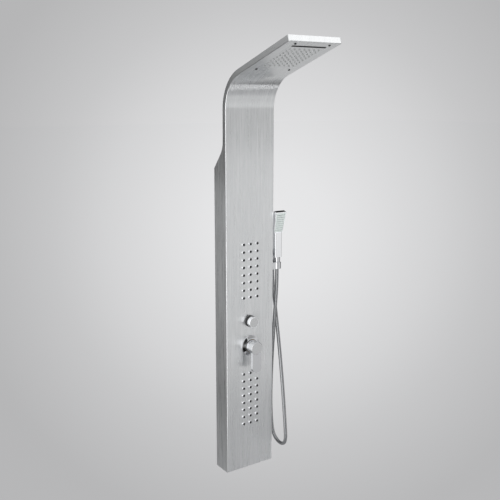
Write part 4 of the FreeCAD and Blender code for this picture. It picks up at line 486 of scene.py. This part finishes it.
def smooth_mesh(name):
    """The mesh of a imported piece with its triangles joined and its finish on."""
    mesh = frame["nodes"][name].data.copy()
    made = bmesh.new()
    made.from_mesh(mesh)
    bmesh.ops.remove_doubles(made, verts=made.verts, dist=same_corner)
    for face in made.faces:
        face.smooth = True
    for edge in made.edges:
        edge.smooth = edge.calc_face_angle(0) < sharp_angle
    made.to_mesh(mesh)
    made.free()
    mesh.name = name + "_surface"
    mesh.materials.clear()
    mesh.materials.append(own_finishes.get(name) or finishes[slot_of(name)])
    return mesh


print(len(own_finishes), "pieces have a finish other than their slot's")


# %% [markdown]
# No real edge is a razor's edge, and its small rounding is what catches the light. It could be cut
# into the mesh, but as a modifier its width can still be changed. Turned and machined pieces get
# that bevel. A weighted normal then keeps the large flat faces flat right up to their edges. The
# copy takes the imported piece's place, moves with the same body and keeps its material slot.

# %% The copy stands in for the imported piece
def body_of(name):
    return next(body for body, members in frame["record"]["behaviour"]["bodies"].items()
                if name in members)


def surface(name, bevel):
    """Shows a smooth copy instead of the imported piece, with its edges rounded by the bevel."""
    mesh = smooth_mesh(name)
    piece = bpy.data.objects.new(mesh.name, mesh)
    scene.collection.objects.link(piece)
    if bevel:
        edge_round = piece.modifiers.new("worn_edge", "BEVEL")
        edge_round.width = bevel
        edge_round.segments = 2
        edge_round.limit_method = "ANGLE"
        edge_round.angle_limit = sharp_angle
        edge_round.harden_normals = True
    flat = piece.modifiers.new("flat_faces_stay_flat", "WEIGHTED_NORMAL")
    flat.keep_sharp = True
    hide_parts(name)
    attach(piece, body_of(name))
    return piece


# How wide the edges of each piece are rounded, in millimetres. Sheet and hoses need no rounding.
edge_widths = {
    "front_panel": 0, "back_cover": 0, "cover_bridge": 0, "wall_brackets": 0, "hanging_rails": 0,
    "rain_nozzle_mat": 0, "water_box": 0, "upper_jet_manifold": 0, "lower_jet_manifold": 0,
    "head_hoses": 0, "upper_jet_hose": 0, "lower_jet_hose": 0, "hand_outlet_hose": 0,
    "waterfall_nozzle": 0.2, "diverter_escutcheon": 0.3, "mixer_escutcheon": 0.3,
    "mixer_handle": 0.4, "hand_shower_holder": 0.4, "outlet_elbow": 0.2, "outlet_rosette": 0.3,
    "hose_nut": 0.3, "hose_cone": 0.3, "spray_face": 0.2, "mixer_body": 0.4,
    "diverter_body": 0.4, "jet_tee": 0.3, "union_nut": 0.4, "diverter_cap": 0.15,
    "handle_cap": 0.15, "spray_nozzles": 0, "hand_shower_body": 0.3, "jet_nozzles": 0.25,
    "diverter_knob": 0.3, "head_screws": 0.1, "jet_tips": 0,
}
smooth_pieces = {name: surface(name, width * MM) for name, width in edge_widths.items()}
print(len(smooth_pieces), "pieces have a smooth surface")


# %% [markdown]
# ## Widened dark tips: rubber and painted shade
#
# Each body jet has a black rubber tip in its chrome ring. The tips are widened to twice their size,
# so that the near-black rubber also paints the dark reflection and shade round each nub, which is
# what makes the jets read as dark dots from across the room. A disc could be laid on each jet.
# Widening the tips that are there keeps them one piece with the same shape. All tips are one mesh,
# so the script first walks from corner to corner to find each tip, then widens it about its own axis.

# %% Jet tips widened into dark dots of painted shade
# How far each tip is widened: the black rubber beyond the real tip is painted shade and dark
# reflection.
dark_dot_spread = 2.05


def separate_tips(corners):
    """Yields each connected part of a mesh as a set of its corners."""
    waiting = set(corners)
    while waiting:
        tip, newest = set(), {waiting.pop()}
        while newest:
            tip |= newest
            newest = {edge.other_vert(corner) for corner in newest
                      for edge in corner.link_edges} - tip
        waiting -= tip
        yield tip


tip_mesh = smooth_pieces["jet_tips"].data
dark_dot_tips = bmesh.new()
dark_dot_tips.from_mesh(tip_mesh)
dark_dot_count = 0
for tip in separate_tips(dark_dot_tips.verts):
    middle = sum((corner.co for corner in tip), Vector()) / len(tip)
    for corner in tip:
        corner.co.x = middle.x + (corner.co.x - middle.x) * dark_dot_spread
        corner.co.z = middle.z + (corner.co.z - middle.z) * dark_dot_spread
    dark_dot_count += 1
dark_dot_tips.to_mesh(tip_mesh)
dark_dot_tips.free()
print(dark_dot_count, "jets have a soft lip")

# %% [markdown]
# ## Small inner pieces
#
# Washers, nuts, pins, discs and valve stems sit inside the column. They could have a smooth copy
# too, but hardly any of them shows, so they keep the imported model's own surface and only get a
# finish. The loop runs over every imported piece, so those behind a smooth copy get theirs as well.

# %% Finishes on the pieces of the model
for entry in frame["record"]["subparts"]:
    mesh = frame["nodes"][entry["node"]].data
    mesh.materials.clear()
    mesh.materials.append(finishes[entry["material_slot"]])

# %% [markdown]
# ## The line of the shower hose
#
# The hose is a rubber tube inside a spiral of chromed steel strip. It leaves its nut behind the
# hand shower, falls beside the panel, turns round in a loop under its own weight and climbs to the
# cone of the hand shower. A rope simulation could find that hang, but its loop would lie somewhere
# else after each change. One smooth curve through the listed control points keeps it where it is
# seen. The points are in millimetres: sideways, depth and height, from the nut to the cone.

# %% The hose's line
hose_route = [
    (129.0, -32.0, 758.0), (129.0, -32.0, 692.0), (132.0, -43.0, 612.0), (133.5, -58.0, 522.0),
    (132.0, -77.0, 428.0), (130.0, -95.0, 330.0), (129.5, -108.5, 235.0), (131.0, -116.5, 148.0),
    (134.5, -118.0, 82.0), (139.5, -91.5, 55.0), (141.5, -53.5, 54.0), (138.0, -27.0, 81.0),
    (131.5, -26.0, 146.0), (125.0, -30.5, 232.0), (121.0, -39.0, 328.0), (118.5, -48.5, 425.0),
    (118.5, -57.0, 520.0), (121.5, -61.5, 606.0), (127.0, -62.0, 680.0), (127.0, -62.0, 742.0),
]
line_data = bpy.data.curves.new("hose_line", "CURVE")
line_data.dimensions = "3D"
line_data.resolution_u = 24
spline = line_data.splines.new("NURBS")
spline.points.add(len(hose_route) - 1)
for point, spot in zip(spline.points, hose_route):
    point.co = (*(Vector(spot) * MM), 1.0)
spline.order_u = 3
spline.use_endpoint_u = True
hose = bpy.data.objects.new("shower_hose_spiral", line_data)
scene.collection.objects.link(hose)
line_mesh = bpy.data.meshes.new_from_object(hose)
hose_path = [tuple(vertex.co) for vertex in line_mesh.vertices]
hose_length = sum((Vector(b) - Vector(a)).length for a, b in zip(hose_path, hose_path[1:]))
print("the hose is", round(hose_length, 3), "m long")


# %% [markdown]
# ## The spiral jacket of the hose
#
# A bevelled curve makes a smooth cord, and its radius can't follow the turns of the strip. So a
# small node tree walks along the line and swells and narrows the radius once for each turn. The
# turns are drawn 2.6 mm apart and 0.35 mm deep, sizes that are a guess. Four rings for each turn
# are enough to show a rounded rib, and leave the piece well under its limit of triangles.

# %% The radius that follows the strip's turns
rings_in_a_turn = 4.0


def ribbed_radius(tree, given):
    """The hose's radius at each ring: full on a rib, and one rib depth less between two ribs."""
    travelled = add_node(tree, "GeometryNodeSplineParameter").outputs["Length"]
    turns = add_node(tree, "ShaderNodeMath", {"operation": "DIVIDE"},
                     {0: travelled, 1: given["Rib spacing"]}).outputs[0]
    angle = add_node(tree, "ShaderNodeMath", {"operation": "MULTIPLY"},
                     {0: turns, 1: 2 * math.pi}).outputs[0]
    wave = add_node(tree, "ShaderNodeMath", {"operation": "COSINE"}, {0: angle}).outputs[0]
    dip = add_node(tree, "ShaderNodeMapRange", inputs={
        "Value": wave, "From Min": -1.0, "From Max": 1.0, "To Min": given["Rib depth"],
        "To Max": 0.0}).outputs[0]
    return add_node(tree, "ShaderNodeMath", {"operation": "SUBTRACT"},
                    {0: given["Radius"], 1: dip}).outputs[0]


print("a turn of the strip is drawn with", int(rings_in_a_turn), "rings")


# %% [markdown]
# The hose could also be a row of separate rings, but a jacket is one skin. So the tree cuts the
# line into short steps, sweeps a circle along it at that radius, closes the ends and puts the
# finish on. Its sizes are named inputs, so that another hose needs no new tree.

# %% The tree that sweeps the jacket
def spiral_jacket():
    """A node group that turns a line into a hose with spiral ribs."""
    tree = bpy.data.node_groups.new("spiral_jacket", "GeometryNodeTree")
    for name, kind, default in (("Line", "NodeSocketGeometry", None),
                                ("Radius", "NodeSocketFloat", 6.5 * MM),
                                ("Rib spacing", "NodeSocketFloat", 2.6 * MM),
                                ("Rib depth", "NodeSocketFloat", 0.35 * MM),
                                ("Sides", "NodeSocketInt", 20),
                                ("Finish", "NodeSocketMaterial", None)):
        socket = tree.interface.new_socket(name, in_out="INPUT", socket_type=kind)
        if default is not None:
            socket.default_value = default
    tree.interface.new_socket("Jacket", in_out="OUTPUT", socket_type="NodeSocketGeometry")
    given = add_node(tree, "NodeGroupInput").outputs
    step = add_node(tree, "ShaderNodeMath", {"operation": "DIVIDE"},
                    {0: given["Rib spacing"], 1: rings_in_a_turn}).outputs[0]
    rings = add_node(tree, "GeometryNodeResampleCurve", {"mode": "LENGTH"},
                     {"Curve": given["Line"], "Length": step}).outputs[0]
    radius = ribbed_radius(tree, given)
    sized = add_node(tree, "GeometryNodeSetCurveRadius",
                     inputs={"Curve": rings, "Radius": radius}).outputs[0]
    circle = add_node(tree, "GeometryNodeCurvePrimitiveCircle", {"mode": "RADIUS"},
                      {"Resolution": given["Sides"], "Radius": 1.0}).outputs[0]
    swept = add_node(tree, "GeometryNodeCurveToMesh", inputs={
        "Curve": sized, "Profile Curve": circle, "Scale": radius, "Fill Caps": True}).outputs[0]
    rounded = add_node(tree, "GeometryNodeSetShadeSmooth",
                       inputs={"Geometry": swept, "Shade Smooth": True}).outputs[0]
    whole = add_node(tree, "GeometryNodeRealizeInstances", inputs={"Geometry": rounded}).outputs[0]
    dressed = add_node(tree, "GeometryNodeSetMaterial",
                       inputs={"Geometry": whole, "Material": given["Finish"]}).outputs[0]
    add_node(tree, "NodeGroupOutput", inputs={"Jacket": dressed})
    return tree


jacket = spiral_jacket()
print("the jacket's inputs:", [item.name for item in jacket.interface.items_tree])

# %% [markdown]
# The line is swept and turned into a plain mesh. It stands for the imported hose, which is hidden.

# %% The hose with its jacket
sweep = hose.modifiers.new("jacket", "NODES")
sweep.node_group = jacket
sockets = {item.name: item.identifier for item in jacket.interface.items_tree}
sweep[sockets["Finish"]] = finishes["hose_strip"]
bpy.context.view_layer.update()
ready = bpy.context.evaluated_depsgraph_get()
swept_mesh = bpy.data.meshes.new_from_object(hose.evaluated_get(ready))
bpy.data.objects.remove(hose)
hose = bpy.data.objects.new("shower_hose_spiral", swept_mesh)
scene.collection.objects.link(hose)
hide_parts("shower_hose")
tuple(hose_path[0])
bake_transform(hose)
print("hose jacket:", len(hose.data.polygons), "faces")


# %% [markdown]
# ## The tone of floor and background
#
# The panel hangs 0.9 m above the floor, as it would on a bathroom wall, and the wall is left away so
# that the back can be seen. Floor and sky share one tone: a pale pool of light behind the panel
# that fades with the angle, as in a studio with a lamp on its backdrop. A lamp on a curved sheet
# could make it too, but then each change of a lamp would change the background. So the tone is a
# ramp over the angle from one fixed direction. On the floor the angle is measured from a fixed
# point in front of the panel at eye height, so the pool lies still there from all sides.

# %% The ramp that floor and sky share
def tone_ramp(tree, value, tones):
    """A colour that follows a value through the given (value, colour) pairs."""
    low, high = tones[0][0], tones[-1][0]
    share = add_node(tree, "ShaderNodeMapRange", inputs={
        "Value": value, "From Min": low, "From Max": high}).outputs[0]
    ramp = add_node(tree, "ShaderNodeValToRGB", inputs={"Fac": share})
    stops = ramp.color_ramp.elements
    for spot, code in tones[1:-1]:
        stops.new((spot - low) / (high - low)).color = linear(code)
    stops[0].color = linear(tones[0][1])
    stops[len(stops) - 1].color = linear(tones[-1][1])
    return ramp.outputs["Color"]


# The middle of the pool, in pixels from the picture's centre, and the focal length in the same.
pool_pixels_right = 20
pool_pixels_up = 25
focal_pixels = 734.7
pool_direction = (-backward * focal_pixels + right * pool_pixels_right
                  + upward * pool_pixels_up).normalized()
eye_height_point = Vector((-1.42, -2.18, 1.35))
# Degrees from the middle of the pool, and the tone there.
pool_tones = [(0, "e9e9ea"), (4.5, "e6e6e7"), (8.1, "dfdfe0"), (12.7, "d4d4d5"), (16.7, "c7c7c8"),
              (20.2, "bebebf"), (23.5, "b6b6b7"), (36, "b6b6b7"), (55, "c4c4c5"), (75, "dedede"),
              (95, "f2f2f2"), (180, "f4f4f4")]


def pool_tone(tree, ray):
    """The tone in the direction of a ray, by its angle from the middle of the pool of light."""
    unit = add_node(tree, "ShaderNodeVectorMath", {"operation": "NORMALIZE"}, {0: ray}).outputs[0]
    closeness = add_node(tree, "ShaderNodeVectorMath", {"operation": "DOT_PRODUCT"},
                         {0: unit, 1: pool_direction}).outputs["Value"]
    angle = add_node(tree, "ShaderNodeMath", {"operation": "ARCCOSINE"}, {0: closeness}).outputs[0]
    degrees = add_node(tree, "ShaderNodeMath", {"operation": "DEGREES"}, {0: angle}).outputs[0]
    return tone_ramp(tree, degrees, pool_tones)


print("the pool of light lies towards", pool_direction)


# %% [markdown]
# ## The sky
#
# The eye and every mirror should see the pool of light as it is. It could also light the room, but
# then its tone and the room's brightness couldn't be set apart. A Light Path node tells the rays
# from each other: eye and mirrors get the pool, and the plain light is one weak, cool white.

# %% The sky
ambient_strength = 0.7


def seen_directly(tree):
    """One where the eye, a mirror or glass looks at the surface, and zero for plain light."""
    rays = add_node(tree, "ShaderNodeLightPath").outputs
    eye_or_mirror = add_node(tree, "ShaderNodeMath", {"operation": "MAXIMUM"},
                             {0: rays["Is Camera Ray"], 1: rays["Is Glossy Ray"]}).outputs[0]
    return add_node(tree, "ShaderNodeMath", {"operation": "MAXIMUM"},
                    {0: eye_or_mirror, 1: rays["Is Transmission Ray"]}).outputs[0]


world = bpy.data.worlds.new("studio")
scene.world = world
world.use_nodes = True
sky = world.node_tree
sky.nodes.clear()
sky_ray = add_node(sky, "ShaderNodeTexCoord").outputs["Generated"]
seen = add_node(sky, "ShaderNodeBackground", inputs={"Color": pool_tone(sky, sky_ray)}).outputs[0]
ambient = add_node(sky, "ShaderNodeBackground", inputs={
    "Color": linear("d8dadc"), "Strength": ambient_strength}).outputs[0]
mixed = add_node(sky, "ShaderNodeMixShader", inputs={
    0: seen_directly(sky), 1: ambient, 2: seen}).outputs[0]
add_node(sky, "ShaderNodeOutputWorld", inputs={"Surface": mixed})
print("ambient light at", ambient_strength)


# %% [markdown]
# ## The floor
#
# A floor that is only lit shows the lamps' own pools, and one that only glows shows no shadow, so
# the floor is mixed from both. Nine tenths of what the eye sees is the tone itself, set to glow, and
# one tenth is lit by the lamps, which keeps a soft shadow. The glow is a touch above one, to make
# up for what that tenth takes away. The sheet is so large that its far edge runs into the sky.

# %% The floor
floor_height = -0.9
floor_reach = 60.0
floor_glow = 1.045
glow_share = 0.9


def studio_sheet(name, corners, material):
    """A flat four-sided sheet of the studio, which isn't part of the object."""
    mesh = bpy.data.meshes.new(name)
    mesh.from_pydata(corners, [], [tuple(range(len(corners)))])
    mesh.materials.append(material)
    made = bpy.data.objects.new(name, mesh)
    scene.collection.objects.link(made)
    return made


floor_finish = bpy.data.materials.new("pale_studio_floor")
floor_finish.use_nodes = True
floor_tree = floor_finish.node_tree
floor_tree.nodes.clear()
floor_spot = add_node(floor_tree, "ShaderNodeTexCoord").outputs["Object"]
floor_ray = add_node(floor_tree, "ShaderNodeVectorMath", {"operation": "SUBTRACT"},
                     {0: floor_spot, 1: eye_height_point}).outputs[0]
floor_tone = pool_tone(floor_tree, floor_ray)
lit = add_node(floor_tree, "ShaderNodeBsdfDiffuse", inputs={"Color": floor_tone}).outputs[0]
glowing = add_node(floor_tree, "ShaderNodeEmission",
                   inputs={"Color": floor_tone, "Strength": floor_glow}).outputs[0]
share = add_node(floor_tree, "ShaderNodeMath", {"operation": "MULTIPLY"},
                 {0: seen_directly(floor_tree), 1: glow_share}).outputs[0]
floor_mix = add_node(floor_tree, "ShaderNodeMixShader",
                     inputs={0: share, 1: lit, 2: glowing}).outputs[0]
add_node(floor_tree, "ShaderNodeOutputMaterial", inputs={"Surface": floor_mix})
studio_sheet("studio_floor", [(x * floor_reach, y * floor_reach, floor_height)
                              for x, y in ((-1, -1), (1, -1), (1, 1), (-1, 1))], floor_finish)
print("floor at", floor_height, "m")


# %% [markdown]
# ## Flags and cards
#
# Polished metal shows its surroundings and nothing else, so a photographer places dark flags and
# white cards round it. An image of a studio could light the metal too, but then no single
# reflection can be moved. Each card here is a glowing sheet that only mirrors see: the eye, the
# plain light and the shadows pass through. A card has one tone or is graded by height.

# %% Cards that only mirrors see
just_above_floor = floor_height + 0.01


def mirror_card(name, corners, tone, strength=1.0):
    """A glowing sheet for reflections, in one tone or in pairs of height in metres and tone."""
    material = bpy.data.materials.new(name)
    material.use_nodes = True
    tree = material.node_tree
    tree.nodes.clear()
    if isinstance(tone, str):
        colour = linear(tone)
    else:
        spot = add_node(tree, "ShaderNodeTexCoord").outputs["Object"]
        height = add_node(tree, "ShaderNodeSeparateXYZ", inputs={"Vector": spot}).outputs["Z"]
        colour = tone_ramp(tree, height, tone)
    glow = add_node(tree, "ShaderNodeEmission",
                    inputs={"Color": colour, "Strength": strength}).outputs[0]
    add_node(tree, "ShaderNodeOutputMaterial", inputs={"Surface": glow})
    card = studio_sheet(name, corners, material)
    card.visible_camera = False
    card.visible_diffuse = False
    card.visible_shadow = False


def upright(foot_a, foot_b, low, high):
    """Corners of a sheet that stands between two feet."""
    return [(*foot_a, low), (*foot_b, low), (*foot_b, high), (*foot_a, high)]


def lying(left, front, right_end, rear):
    """Corners of a sheet that lies on the floor."""
    return [(x, y, just_above_floor) for x, y in ((left, front), (right_end, front),
                                                  (right_end, rear), (left, rear))]


print("cards on the floor lie at", just_above_floor, "m")

# %% [markdown]
# Flags give the metal its dark shapes. One large flag could do, but each surface looks at another
# part of the room. One stands behind on the left, and its steps of grey are what the left flange
# mirrors. One stands on the right, for the dark side of every nozzle and knob, and one high behind,
# for the chrome that faces up. A small one by the camera draws the dark core of the chrome that
# faces the room, and a grey one high in front shades the sheet where it starts to bend.

# %% Dark and grey flags
mirror_card("flag_left_rear",
            upright((-2.9, 0.6), (-0.6, 2.3), low=just_above_floor, high=2.4),
            [(-0.9, "585858"), (0.1, "7e7e7e"), (0.7, "868686"), (0.95, "343434"),
             (1.42, "303030"), (1.54, "8c8c8c"), (1.66, "dadada"), (2.4, "dadada")])
mirror_card("flag_right",
            upright((2.2, -0.35), (2.4, 1.3), low=just_above_floor, high=2.4), "202020")
mirror_card("flag_high_rear", upright((-0.8, 2.7), (2.9, 0.9), low=1.75, high=3.6), "202020")
mirror_card("flag_by_the_camera",
            upright((-0.5, -1.5), (0.22, -1.6), low=just_above_floor, high=1.3),
            [(-0.9, "141414"), (-0.2, "1c1c1c"), (0.2, "9c9c9c"), (0.5, "484848"),
             (0.8, "1c1c1c"), (1.3, "1c1c1c")])
mirror_card("flag_high_front", upright((0.7, -3.3), (3.0, -1.9), low=0.95, high=2.5),
            [(0.95, "d4d4d4"), (1.2, "c9c9c9"), (1.5, "b0b0b0"), (2.5, "b0b0b0")])
print("the flags stand")

# %% [markdown]
# White cards give the bright edges: one on the left for the sides of lever and knobs, and one high
# in front for the rim of the head. A brighter sky could do it, but would wash out the dark shapes.
# The rest lies on the floor, where the bend and the underside of the head look. A dark strip and
# two white ones give the bend its lines. A dark sheet on the left shades the lower flange, and two
# light sheets brighten the underside of the head. It sees the one in front by way of the panel's
# own front, so that light is mirrored twice.

# %% White cards, and strips and sheets on the floor
mirror_card("card_left",
            upright((-0.9, -2.7), (-2.6, 0.0), low=just_above_floor, high=2.4),
            "ffffff", strength=1.8)
mirror_card("card_high_front", upright((0.6, -3.4), (3.4, -1.6), low=2.6, high=4.2),
            "ffffff", strength=1.5)
mirror_card("strip_dark", lying(left=1.3, front=-0.1, right_end=2.3, rear=0.16), "080808")
mirror_card("strip_white_near", lying(left=1.4, front=-0.8, right_end=2.1, rear=-0.64),
            "ffffff", strength=2.8)
mirror_card("strip_white_far", lying(left=1.4, front=-0.46, right_end=2.1, rear=-0.3),
            "ffffff", strength=2.8)
mirror_card("dark_sheet_left", lying(left=-1.7, front=1.2, right_end=-0.7, rear=2.0), "6a6a6a")
mirror_card("light_sheet_under_head",
            lying(left=1.0, front=0.5, right_end=3.4, rear=3.7), "d2d2d2")
mirror_card("light_sheet_in_front",
            lying(left=2.15, front=-3.05, right_end=3.4, rear=-2.1), "f4f4f4")
print("cards, strips and sheets are in place")


# %% [markdown]
# ## Lamps
#
# The light in the photograph is soft. Point lamps would give hard shadows, so two large area lamps
# stand in front: a strong one high on the right and a weak fill at chest height on the left. They
# give the plain light and the soft shadow on the floor. What the metal mirrors comes from the
# cards, so the lamps themselves are left out of its reflections.

# %% Lamps
panel_middle = (0, 0, 0.8)


def lamp(name, place, width, height, power):
    """A large soft lamp that faces the middle of the panel, with its power in watts."""
    data = bpy.data.lights.new(name, "AREA")
    data.shape = "RECTANGLE"
    data.size = width
    data.size_y = height
    data.energy = power
    made = bpy.data.objects.new(name, data)
    scene.collection.objects.link(made)
    aim = Vector(panel_middle) - Vector(place)
    facing = aim.to_track_quat("-Z", "Y").to_matrix().to_4x4()
    made.matrix_world = Matrix.Translation(place) @ facing
    made.visible_glossy = False


lamp("key_from_high_right", (2.0, -2.7, 3.4), width=2.0, height=1.6, power=90)
lamp("fill_from_left", (-2.8, -1.6, 1.6), width=1.6, height=2.2, power=25)
print("two lamps face", panel_middle)

# %% [markdown]
# ## The view transform
#
# A film-like view transform could be used, but it softens the whites. The plain one shows a colour
# as it was written.

# %% The view transform
scene.view_settings.view_transform = "Standard"
